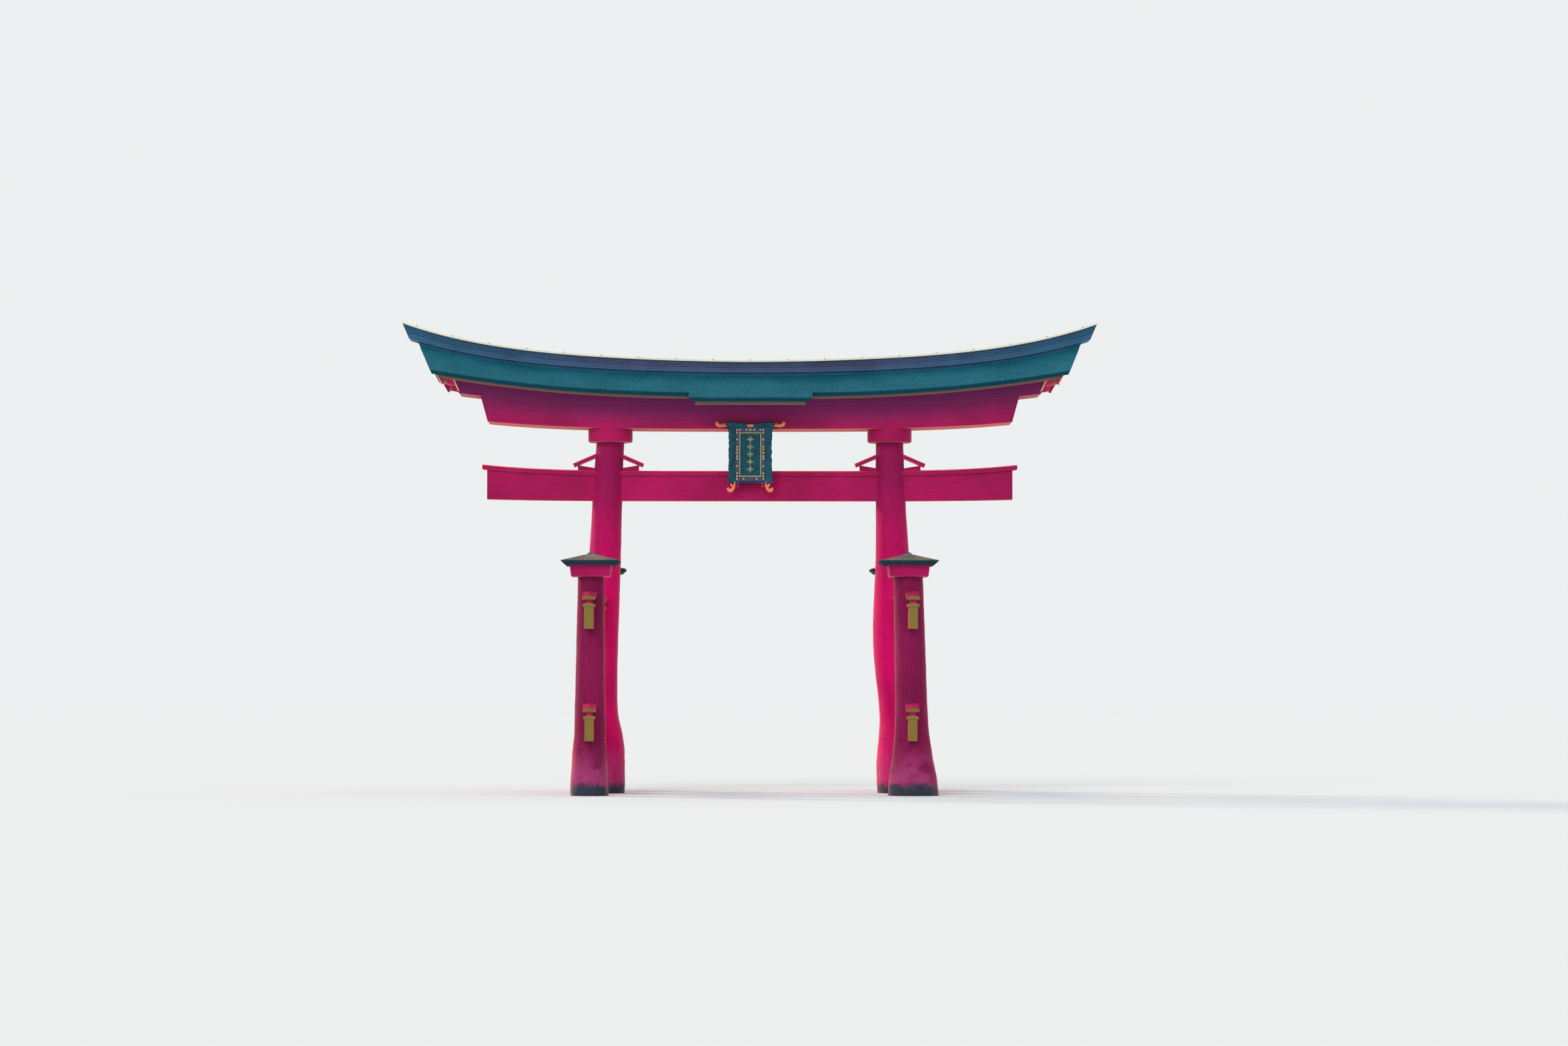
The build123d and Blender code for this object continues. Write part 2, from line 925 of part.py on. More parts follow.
frame_edge = [
    (frame_half_width + widening, height)
    for widening, height in (
        (10, 0),
        (-5, 210),
        (12, 400),
        (-14, 620),
        (2, 830),
        (-20, 1030),
        (0, 1230),
        (-14, 1430),
        (8, 1640),
        (6, 1800),
        (35, 1960),
        (90, 2112),
    )
]
frame_top = [(600, 2090), (300, 2100), (0, 2080), (-300, 2100), (-600, 2090)]
with BuildPart() as plaque_frame:
    add(
        plate(
            frame_edge + frame_top + [(-u, v) for u, v in reversed(frame_edge)],
            0,
            plaque_thickness,
        )
    )
    add(panel_plate(band_size, pocket_floor, plaque_thickness), mode=Mode.SUBTRACT)

panel_size = (line_size[0] - 2 * line_width, line_size[1] - 2 * line_width)
plaque_band = panel_plate(band_size, pocket_floor, band_level, line_size)
plaque_line = panel_plate(line_size, pocket_floor, line_level, panel_size)
plaque_panel = panel_plate(panel_size, pocket_floor, panel_level)

# Gilded scrolls at the corners, and the crown over the band
top_scroll = [
    (780, 1950), (900, 1935), (1040, 1940), (1150, 1965), (1215, 2030), (1225, 2100),
    (1180, 2145), (1110, 2140), (1085, 2090), (1050, 2050), (1000, 2075), (960, 2050),
    (925, 2075), (900, 2130), (865, 2125), (850, 2070), (780, 2030),
]
foot_scroll = [
    (515, 30), (520, -100), (545, -210), (600, -295), (680, -325), (755, -300),
    (795, -240), (785, -180), (740, -160), (705, -175), (690, -120), (700, -60),
    (680, -10), (640, -20), (620, -70), (585, -60), (565, 30),
]
scrolls = []
for side in sides.values():
    for outline in (top_scroll, foot_scroll):
        with BuildPart() as scroll:
            add(plate([(side * u, v) for u, v in outline], scroll_floor, scroll_level))
            add(plaque_frame.part, mode=Mode.SUBTRACT)
        scrolls.append(scroll.part.solids().sort_by(SortBy.VOLUME)[-1])
with BuildPart() as plaque_crown:
    with BuildSketch(plaque_plane.offset(plaque_thickness)):
        with Locations((0, crown_centre)):
            Ellipse(*crown_size)
    extrude(amount=crown_level - plaque_thickness)

# What carries the plaque: bearers on the tie beam, a cleat on the strut, spacers on the lintel
tilt_run = sin(radians(plaque_tilt)) / cos(radians(plaque_tilt))


def plaque_back_at(height):
    return -plaque_back - (height - plaque_bottom) * tilt_run


bearer_tip = -plaque_back - plaque_thickness - bearer_lip
bearer = [
    (-tie_width / 2, plaque_bottom - bearer_height),
    (-tie_width / 2, plaque_bottom),
    (-plaque_back, plaque_bottom),
    (bearer_tip, plaque_bottom + (bearer_tip + plaque_back) * tilt_run),
    (bearer_tip, plaque_bottom - bearer_height / 2),
    (bearer_tip + bearer_lip, plaque_bottom - bearer_height),
]
cleat = [
    (-strut_depth / 2, cleat_level),
    (-strut_depth / 2, cleat_level + cleat_height),
    (plaque_back_at(cleat_level + cleat_height), cleat_level + cleat_height),
    (plaque_back_at(cleat_level), cleat_level),
]
spacer = [
    (-lower_lintel_depth / 2, spacer_low),
    (-lower_lintel_depth / 2, spacer_high),
    (plaque_back_at(spacer_high), spacer_high),
    (plaque_back_at(spacer_low), spacer_low),
]
plaque_supports = []
for profile, width, places in (
    (bearer, bearer_width, (-bearer_reach_x, bearer_reach_x)),
    (cleat, strut_width, (0,)),
    (spacer, spacer_width, (-spacer_reach_x, spacer_reach_x)),
):
    for x in places:
        with BuildPart() as support:
            with BuildSketch(Plane.YZ.offset(x)):
                with BuildLine():
                    Polyline(*profile, close=True)
                make_face()
            extrude(amount=width / 2, both=True)
        plaque_supports.append(support.part)


def gather(pieces):
    """One node of several solids that stand apart."""
    with BuildPart() as group:
        for piece in pieces:
            add(piece)
    return group.part


nodes = {
    "main_tie_beam": main_tie_beam.part,
    "tie_beam_caps": gather(tie_caps),
    "tie_beam_wedges": gather(tie_wedges),
    "tie_beam_wedge_covers": gather(tie_covers),
    "lower_lintel": lower_lintel.part,
    "upper_lintel": upper_lintel.part,
    "roof_frame": roof_frame.part,
    "bark_roof": bark_roof.part,
    "ridge_band": ridge_band.part,
    "ridge_box": ridge_box.part,
    "ridge_cap": ridge_cap.part,
    "centre_eaves": gather(centre_eaves),
    "eave_fascias": gather(fascias),
    "bargeboards": gather(barges),
    "gable_pendants": gather(pendants),
    "gable_purlins": gather(purlins),
    "pillar_rings": gather(rings),
    "side_beam_caps": gather(side_caps),
    "side_beam_wedges": gather(side_wedges),
    "side_beam_wedge_covers": gather(side_covers),
    "post_head_blocks": gather(head_blocks),
    "post_roofs": gather(post_roofs),
    "post_finials": gather(finials),
    "plaque_strut": plaque_strut.part,
    "plaque_frame": plaque_frame.part,
    "plaque_band": plaque_band,
    "plaque_line": plaque_line,
    "plaque_panel": plaque_panel,
    "plaque_scrolls": gather(scrolls),
    "plaque_crown": plaque_crown.part,
    "plaque_supports": gather(plaque_supports),
}
for side_name in sides:
    nodes[f"main_pillar_{side_name}"] = pillars[side_name]
for (face_name, side_name), sleeve in sleeves.items():
    nodes[f"sleeve_post_{face_name}_{side_name}"] = sleeve
for (level, face_name, side_name), beam in side_beams.items():
    nodes[f"side_beam_{level}_{face_name}_{side_name}"] = beam

for name, piece in nodes.items():
    piece.label = name
    export_step(piece, f"parts/{name}.step")
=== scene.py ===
import json
from functools import cached_property
from math import cos, pi, radians, sin, tan

import bmesh
import bpy
from bpy.props import FloatProperty, FloatVectorProperty, IntProperty, PointerProperty
from mathutils import Matrix, Vector, noise


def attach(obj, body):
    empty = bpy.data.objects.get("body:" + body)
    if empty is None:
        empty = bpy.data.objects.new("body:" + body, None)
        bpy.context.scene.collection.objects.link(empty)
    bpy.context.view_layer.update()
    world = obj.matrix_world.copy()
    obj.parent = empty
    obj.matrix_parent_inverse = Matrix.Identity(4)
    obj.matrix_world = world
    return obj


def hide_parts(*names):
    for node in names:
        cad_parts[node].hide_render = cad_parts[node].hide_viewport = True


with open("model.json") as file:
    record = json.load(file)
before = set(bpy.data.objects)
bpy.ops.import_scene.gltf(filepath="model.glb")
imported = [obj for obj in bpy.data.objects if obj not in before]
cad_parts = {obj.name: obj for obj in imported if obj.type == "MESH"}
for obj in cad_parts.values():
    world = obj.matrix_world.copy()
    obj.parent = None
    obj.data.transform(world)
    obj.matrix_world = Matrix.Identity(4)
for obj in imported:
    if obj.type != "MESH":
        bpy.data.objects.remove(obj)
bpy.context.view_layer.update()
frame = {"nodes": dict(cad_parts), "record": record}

bl_info = {
    "name": "Four-legged torii gate",
    "version": (1, 0, 0),
    "blender": (4, 5, 0),
    "location": "View3D > Sidebar > Torii",
    "description": "Hewn trunks, bark roofs, ridge boards, plaque and paint on the gate's frame",
    "category": "Object",
}

FACES = {"front": -1, "back": 1}


def both_ways(operation):
    """Method for an operator between a value and anything, and its reflected form."""
    return (
        lambda first, second: first.maths(operation, first, second),
        lambda second, first: second.maths(operation, first, second),
    )


class Value:
    """One output socket, used as a number in Python expressions."""

    def __init__(self, nodes, socket):
        self.nodes = nodes
        self.socket = socket

    def maths(self, operation, *values):
        return self.nodes.node("ShaderNodeMath", {"operation": operation}, values)

    __add__, __radd__ = both_ways("ADD")
    __sub__, __rsub__ = both_ways("SUBTRACT")
    __mul__, __rmul__ = both_ways("MULTIPLY")
    __truediv__, __rtruediv__ = both_ways("DIVIDE")
    __pow__, __rpow__ = both_ways("POWER")

    def __abs__(self):
        return self.maths("ABSOLUTE", self)

    def exp(self):
        return self.maths("EXPONENT", self)

    def over(self, edge):
        return self.maths("GREATER_THAN", self, edge)

    def out(self, name):
        """Another output of the node that this one comes from."""
        return Value(self.nodes, self.socket.node.outputs[name])


class Nodes:
    """A node tree that is written as expressions."""

    def __init__(self, tree):
        self.tree = tree

    def node(self, kind, settings=None, inputs=(), output=0):
        """Add a node, apply its settings, feed its sockets and give one of its outputs."""
        node = self.tree.nodes.new(kind)
        for name, setting in (settings or {}).items():
            setattr(node, name, setting)
        pairs = inputs.items() if isinstance(inputs, dict) else enumerate(inputs)
        for key, value in pairs:
            if isinstance(value, Value):
                self.tree.links.new(value.socket, node.inputs[key])
            else:
                node.inputs[key].default_value = value
        return Value(self, node.outputs[output])

    def split(self, vector):
        """The three parts of a vector."""
        x = self.node("ShaderNodeSeparateXYZ", inputs=[vector])
        return x, x.out("Y"), x.out("Z")

    def join(self, x, y, z):
        return self.node("ShaderNodeCombineXYZ", inputs=[x, y, z])

    def ease(self, value, low, high):
        """0 at low, 1 at high, smooth between them."""
        settings = {"interpolation_type": "SMOOTHSTEP"}
        return self.node("ShaderNodeMapRange", settings, {"Value": value, 1: low, 2: high})

    def cloud(self, place, scale, detail=3.0, roughness=0.55):
        """Soft noise about a half."""
        inputs = {"Vector": place, "Scale": scale, "Detail": detail, "Roughness": roughness}
        return self.node("ShaderNodeTexNoise", inputs=inputs)

    def stretch(self, place, scale):
        """A place whose noise is drawn out along an axis with a small scale."""
        return self.node("ShaderNodeVectorMath", {"operation": "MULTIPLY"}, [place, scale])

    def mix(self, factor, first, second):
        """Colour between two colours."""
        settings = {"data_type": "RGBA"}
        return self.node("ShaderNodeMix", settings, {0: factor, 6: first, 7: second}, output=2)

    def copies(self, points, instance, turn, size=(1.0, 1.0, 1.0)):
        """One instance on each point."""
        inputs = {"Points": points, "Instance": instance, "Rotation": turn, "Scale": size}
        return self.node("GeometryNodeInstanceOnPoints", inputs=inputs)


def linear(colour, gain=1.0):
    """Scene colour of a colour as it shows on screen."""
    return (*(gain * (((c + 0.055) / 1.055) ** 2.4 if c > 0.04 else c / 12.92) for c in colour), 1)


class Finish(Nodes):
    """A material whose colour, gloss and relief come from nodes."""

    def __init__(self, name, roughness, metallic=0.0, specular=0.5):
        self.material = bpy.data.materials.new(name)
        self.material.use_nodes = True
        super().__init__(self.material.node_tree)
        self.shader = self.tree.nodes["Principled BSDF"]
        self.shader.inputs["Roughness"].default_value = roughness
        self.shader.inputs["Metallic"].default_value = metallic
        self.shader.inputs["Specular IOR Level"].default_value = specular
        self.place = self.node("ShaderNodeTexCoord", output="Object")
        self.paint = bpy.context.scene.gate_paint

    # Parts of the place and of the normal, made when a finish first asks for them
    x = cached_property(lambda self: self.split(self.place)[0])
    y = cached_property(lambda self: self.split(self.place)[1])
    z = cached_property(lambda self: self.split(self.place)[2])
    facing_y = cached_property(lambda self: self.split(self.place.out("Normal"))[1])
    facing_z = cached_property(lambda self: self.split(self.place.out("Normal"))[2])

    def tone(self, share, base, low, high):
        """One colour at two strengths, mixed by share."""
        return self.mix(share, linear(base, low), linear(base, high))

    def two(self, share, first, second):
        """Two of the gate's colours, mixed by share."""
        return self.mix(share, linear(first), linear(second))

    def surface(self, colour, roughness, height=None, depth=0.0):
        """Feed colour, gloss and a relief of this depth, and give the material."""
        fed = {"Base Color": colour, "Roughness": roughness}
        if height:
            inputs = {"Strength": 1.0, "Distance": depth, "Height": height}
            fed["Normal"] = self.node("ShaderNodeBump", inputs=inputs)
        for name, value in fed.items():
            self.tree.links.new(value.socket, self.shader.inputs[name])
        return self.material


def tint(name, description, default):
    """Setting for a colour, as it shows on screen."""
    return FloatVectorProperty(
        name=name, description=description, subtype="COLOR_GAMMA", default=default
    )


def length(name, description, default):
    return FloatProperty(
        name=name, description=description, default=default, min=0, unit="LENGTH"
    )


class PaintSettings(bpy.types.PropertyGroup):
    """Colours of the gate."""

    red: tint("Red", "Painted beams", (0.68, 0.08, 0.35))
    trunk_red: tint("Trunk red", "Paint of the main pillars", (0.81, 0.0, 0.39))
    # Post red is the trunk red darkened: painted shade on the sleeve posts
    shaded_post_red: tint("Post red", "Paint of the sleeve posts", (0.51, 0.07, 0.29))
    # Pillar heads: painted shade, the trunk red darkened towards the tops of the pillars
    pillar_head_shade: tint("Pillar heads", "Paint of the pillars under the lintels", (0.5, 0.08, 0.3))
    # Shaded red: painted shade on the red parts under the eaves
    shaded: tint("Shaded red", "Sooty paint under the eaves", (0.42, 0.2, 0.42))
    faded: tint("Faded red", "Paint near the water", (0.66, 0.25, 0.48))
    sheen: tint("Sheen", "Glow at the painted wood's rims", (1.0, 0.6, 0.5))
    wet: tint("Wet band", "Weed and wet wood at the foot", (0.2, 0.22, 0.28))
    purlin_red: tint("Purlin red", "Paint of the gable purlins", (0.88, 0.18, 0.46))
    purlin_end: tint("Purlin end", "Worn paint at the purlins' ends", (0.68, 0.48, 0.37))
    # Bargeboard edge: pale painted highlight on the bargeboards' narrow edges
    barge_edge_highlight: tint("Bargeboard edge", "Narrow edges of the bargeboards", (0.96, 0.66, 0.62))
    # End strip: ochre end paint made bright as a painted highlight
    end_strip_highlight: tint("End strip", "Strips along the upper lintel's ends", (1.0, 0.92, 0.62))
    ochre: tint("Ochre", "Painted end grain", (0.52, 0.44, 0.22))
    eave_line: tint("Eave line", "Ochre line under the bark", (0.5, 0.38, 0.32))
    bark: tint("Bark", "Bark roof", (0.13, 0.39, 0.46))
    bark_deep: tint("Deep bark", "Bark near the ridge", (0.0, 0.33, 0.42))
    warm_bark: tint("Warm bark", "Bark of the post roofs", (0.47, 0.46, 0.42))
    cool_bark: tint("Cool bark", "Damp bark of the post roofs", (0.2, 0.34, 0.37))
    chips: tint("Bark chips", "Pale chips on the post roofs", (0.86, 0.65, 0.5))
    ridge: tint("Ridge", "Ridge boards", (0.26, 0.31, 0.45))
    ridge_end: tint("Ridge ends", "Ridge boards towards the tips", (0.17, 0.36, 0.49))
    ridge_band: tint("Ridge band", "Band under the ridge boards", (0.16, 0.36, 0.47))
    drip: tint("Drip strip", "Strip along the foot of the ridge boards", (0.16, 0.42, 0.62))
    cap: tint("Cap", "Upper face of the ridge cap", (0.6, 0.64, 0.61))
    cap_stain: tint("Cap stains", "Stains on the ridge cap", (0.48, 0.55, 0.56))
    cap_edge: tint("Cap edge", "Edge of the ridge cap", (0.97, 0.95, 0.85))
    cap_dirt: tint("Cap dirt", "Dirt on the ridge cap's edge", (0.8, 0.81, 0.72))
    clip: tint("Clip", "Wire clips on the ridge cap", (0.2, 0.32, 0.38))
    clip_dirt: tint("Clip dirt", "Dirt on the clips", (0.05, 0.14, 0.18))
    finial: tint("Finial", "Finials on the post roofs", (0.32, 0.6, 0.6))
    finial_dirt: tint("Finial dirt", "Dirt on the finials", (0.2, 0.33, 0.35))
    lacquer: tint("Lacquer", "Plaque frame and panel", (0.0, 0.28, 0.34))
    band: tint("Plaque band", "Band with the studs", (0.25, 0.28, 0.43))
    gold: tint("Gold", "Gilded scrolls", (0.95, 0.5, 0.33))
    stud_gold: tint("Stud gold", "Studs on the plaque's band", (0.86, 0.68, 0.5))
    dull_gold: tint("Dull gold", "Line and flowers on the plaque", (0.56, 0.6, 0.38))
    # Bright gold: painted highlight on the upper sides of the gilding
    gold_highlight: tint("Bright gold", "Upper sides of the gilding", (0.99, 0.8, 0.55))


class TrunkSettings(bpy.types.PropertyGroup):
    """Sizes of the trunks' hewn surface."""

    around: IntProperty(name="Sides", description="Faces round a trunk", default=96, min=12)
    along: IntProperty(name="Rows", description="Rows of faces along a trunk", default=150, min=8)
    hewing: length("Hewing", "Depth of the adze work", 0.017)
    roots: FloatProperty(
        name="Roots",
        description="How far the foot's lobes stand out, as a share of its radius",
        default=0.05,
        min=0,
    )


class RoofSettings(bpy.types.PropertyGroup):
    """Sizes of the bark's surface."""

    sag: length("Unevenness", "Waves in the bark", 0.012)
    layers: IntProperty(name="Layers", description="Layers in an eave", default=7, min=1)
    stations: IntProperty(name="Stations", description="Sections of the roof", default=300, min=8)


class RidgeSettings(bpy.types.PropertyGroup):
    """Sizes of the ridge's boards and clips."""

    lap: length("Lap", "Depth of the grooves between boards", 0.03)
    clip_spacing: length("Clip spacing", "Between clips on the cap", 1.27)
    clip_radius: length("Clip radius", "Radius of a clip's ring", 0.018)
    clip_wire: length("Clip wire", "Radius of a clip's wire", 0.011)


class PlaqueSettings(bpy.types.PropertyGroup):
    """Sizes of the plaque."""

    wave: length("Wave", "Depth of the frame's carved edge", 0.028)
    stud: length("Stud radius", "Radius of a stud", 0.036)


class StageSettings(bpy.types.PropertyGroup):
    """Floor and lights."""

    floor: tint("Floor", "Floor colour", (0.888, 0.925, 0.95))
    backdrop: tint("Backdrop", "Colour behind the gate", (0.93, 0.94, 0.94))
    fill: FloatProperty(name="Fill", description="Light from all round", default=0.69, min=0)
    key: FloatProperty(name="Key", description="Soft light from the front", default=1.0, min=0)
    rim: FloatProperty(name="Rim", description="Warm light from behind", default=2.2, min=0)


SETTINGS = {
    "gate_paint": PaintSettings,
    "gate_trunks": TrunkSettings,
    "gate_roof": RoofSettings,
    "gate_ridge": RidgeSettings,
    "gate_plaque": PlaqueSettings,
    "gate_stage": StageSettings,
}


def long_line(base, lift, reach, square, cube, fourth):
    """A long curve of the gate: how high it runs, in metres, at x from the middle."""

    def height(x):
        share = abs(x) / reach
        return base + lift * (square * share**2 + cube * share**3 + fourth * share**4)

    return height


def raised(line, gain):
    return lambda x: line(x) + gain


def between(first, last, share):
    return lambda x: first(x) + (last(x) - first(x)) * share


ROOF_TOP = long_line(14.5, 1.09, 11.6, 0.7, -0.6, 0.9)
EAVE_TOP = long_line(13.82, 0.79, 11.1, 0.0, 1.6, -0.6)
RIDGE_TOP = long_line(15.045, 1.373, 12.2, 0.9, -1.08, 1.18)
BAND_TOP = raised(ROOF_TOP, 0.12)
BOX_TOP = raised(RIDGE_TOP, -0.06)
FLAT_Y = 0.5
EAVE_Y = 1.9
UNDERCUT_Y = 1.75
EDGE_DROP = 0.14
LIP = 0.02
ROOF_END = (11.04, 14.61, radians(26))
RIDGE_END = (12.14, 16.418, radians(23.5))
EAVE_LINE_Y = 1.6
EAVE_LINE_WIDTH = 0.045
EAVE_LINE_HEIGHT = 0.08
EAVE_LINE_END = (10.81, ROOF_END[1], ROOF_END[2])
CENTRE_LINE_Y = 2.0
CENTRE_LINE_HALF = 1.9
CENTRE_LINE_FOOT = 13.365
CENTRE_EAVE_Y = 2.33
CENTRE_EAVE_HALF = 2.13
CENTRE_EAVE_PROUD = 0.004
CENTRE_EAVE_CORNER = (1.96, 13.471, radians(50))
RIDGE_Y = 0.5
DRIP_HEIGHT = 0.032
DRIP_PROUD = 0.012
PURLIN_END = 3.56
FRAME_END = (3.28, 3.366)
BARGE_MIDDLE = 3.742
LINTEL_RAKE = radians(24.5)
LINTEL_STRIP = 3.733
VERGE_HEIGHT = 0.15
VERGE_BITE = 0.04


def slope_line(y):
    """Upper face of the bark at y from the middle."""
    return between(ROOF_TOP, EAVE_TOP, (y - FLAT_Y) / (EAVE_Y - FLAT_Y))


def under_line(y):
    """Underside of the bark at y from the middle."""
    rise = (UNDERCUT_Y - y) / (EAVE_Y - FLAT_Y)
    return lambda x: EAVE_TOP(x) - EDGE_DROP + (ROOF_TOP(x) - EAVE_TOP(x)) * rise


def declare(piece, replaced, smooth):
    """Let a piece ride on the gate, and smooth its faces up to an angle in degrees."""
    if smooth:
        piece.data.shade_smooth()
        piece.data.set_sharp_from_angle(angle=radians(smooth))
    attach(piece, "root")
    if replaced:
        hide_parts(*replaced)


def add_piece(name, mesh, slot, replaced=(), finish=None, smooth=None):
    """Put a finished mesh in the scene, with its slot's finish or another."""
    mesh.name = name
    piece = bpy.data.objects.new(name, mesh)
    bpy.context.scene.collection.objects.link(piece)
    mesh.materials.clear()
    mesh.materials.append(FINISHES[finish or slot])
    declare(piece, replaced, smooth)


def made_mesh(work):
    """Mesh of a bmesh, which is freed."""
    mesh = bpy.data.meshes.new("made")
    work.to_mesh(mesh)
    work.free()
    return mesh


def joined_work(meshes):
    """Bmesh of several meshes, which are removed."""
    work = bmesh.new()
    for mesh in meshes:
        work.from_mesh(mesh)
        bpy.data.meshes.remove(mesh)
    return work


def outward(mesh):
    """Turn the faces of a closed mesh outwards."""
    work = bmesh.new()
    work.from_mesh(mesh)
    bmesh.ops.remove_doubles(work, verts=work.verts, dist=1e-5)
    bmesh.ops.recalc_face_normals(work, faces=work.faces)
    work.to_mesh(mesh)
    work.free()
    return mesh


def ring_mesh(rings, closed_ends=True):
    """Mesh of rings with the same number of points, joined one to the next."""
    count = len(rings[0])
    points = [point for ring in rings for point in ring]
    faces = []
    for i in range(len(rings) - 1):
        for j in range(count):
            k = (j + 1) % count
            faces.append((i * count + j, i * count + k, (i + 1) * count + k, (i + 1) * count + j))
    if closed_ends:
        faces.append(tuple(range(count - 1, -1, -1)))
        faces.append(tuple(range((len(rings) - 1) * count, len(rings) * count)))
    mesh = bpy.data.meshes.new("rings")
    mesh.from_pydata(points, [], faces)
    return outward(mesh)


def long_board(profile, end, stations, relief=None):
    """Mesh of a long board from its (y, height line) points; end is (reach, height, rake)."""
    reach, height, rake = end
    rings = []
    for i in range(stations + 1):
        share = 2 * i / stations - 1
        ring = []
        for y, line in profile:
            x = share * reach
            for _ in range(4):
                x = share * (reach + (line(x) - height) * tan(rake))
            point = Vector((x, y, line(x)))
            ring.append(point + relief(point) if relief else point)
        rings.append(ring)
    return ring_mesh(rings)


def layered_edge(outer_y, inner_y, drop, line, layers):
    """Steps of a bark eave, from its lip down and in to its underside."""
    points = []
    for i in range(layers):
        share = i / layers
        y = outer_y + (inner_y - outer_y) * share
        low = LIP + (drop - LIP) * (i + 1) / layers
        jog = 0.006 * (i % 2)
        points.append((y - jog, raised(line, -LIP - (drop - LIP) * share)))
        points.append((y - jog - 0.004, raised(line, -low)))
    return points


def both_faces(half):
    """Whole profile from the half at +Y, read from the middle outwards and back inwards."""
    return half + [(-y, line) for y, line in reversed(half)]


def bark_relief(depth):
    """Small waves in a bark surface."""

    def relief(point):
        wave = noise.noise(Vector((point.x * 0.8, point.y * 2.2, point.z * 2.2)))
        fine = noise.noise(point * 9.0)
        return Vector((0, 0, depth * (0.7 * wave + 0.3 * fine)))

    return relief


def geometry_tree(name, inputs):
    """New geometry node group with named inputs; gives the tree and its input values."""
    tree = bpy.data.node_groups.new(name, "GeometryNodeTree")
    tree.interface.new_socket("Geometry", in_out="OUTPUT", socket_type="NodeSocketGeometry")
    tree.interface.new_socket("Geometry", in_out="INPUT", socket_type="NodeSocketGeometry")
    for label, kind in inputs.items():
        tree.interface.new_socket(label, in_out="INPUT", socket_type="NodeSocket" + kind)
    nodes = Nodes(tree)
    source = tree.nodes.new("NodeGroupInput")
    return nodes, {label: Value(nodes, source.outputs[label]) for label in ("Geometry", *inputs)}


def end_tree(nodes, geometry, material):
    """Realize what a tree has made, and give it its material."""
    real = nodes.node("GeometryNodeRealizeInstances", inputs=[geometry])
    painted = nodes.node("GeometryNodeSetMaterial", inputs={"Geometry": real, "Material": material})
    sink = nodes.tree.nodes.new("NodeGroupOutput")
    nodes.tree.links.new(painted.socket, sink.inputs[0])
    return nodes.tree


def grow(name, tree, values, base, replaced=(), smooth=None):
    """Add the plain mesh that a node tree makes from a base mesh and its input values."""
    piece = bpy.data.objects.new(name, base)
    bpy.context.scene.collection.objects.link(piece)
    modifier = piece.modifiers.new("Make", "NODES")
    modifier.node_group = tree
    for item in tree.interface.items_tree:
        if item.in_out == "INPUT" and item.name in values:
            modifier[item.identifier] = values[item.name]
    piece.update_tag()
    bpy.context.view_layer.update()
    depsgraph = bpy.context.evaluated_depsgraph_get()
    made = bpy.data.meshes.new_from_object(piece.evaluated_get(depsgraph), depsgraph=depsgraph)
    piece.modifiers.clear()
    piece.data = made
    made.name = name
    declare(piece, replaced, smooth)


def points_mesh(points, edges=()):
    mesh = bpy.data.meshes.new("points")
    mesh.from_pydata([tuple(point) for point in points], edges, [])
    return mesh


# Noise stretch of paint whose grain runs along X, along Y, up, or nowhere
GRAIN_X = (0.4, 6.0, 6.0)
GRAIN_Y = (6.0, 0.5, 6.0)
GRAIN_UP = (5.0, 5.0, 0.6)
NO_GRAIN = (3.0, 3.0, 3.0)
BOARD_GRAIN = (2.0, 3.0, 3.0)
SPLICE_HEIGHT = 1.86
# Heights over which the painted shade at the pillar heads comes in
PILLAR_HEAD_SHADE = (7.2, 11.6)
FADED_EDGE = (0.75, 2.3)
WET_EDGE = (0.6, 0.86)
# Depths under the eave over which the painted shade comes in
EAVE_SHADE_EDGE = (-1.35, -0.1)


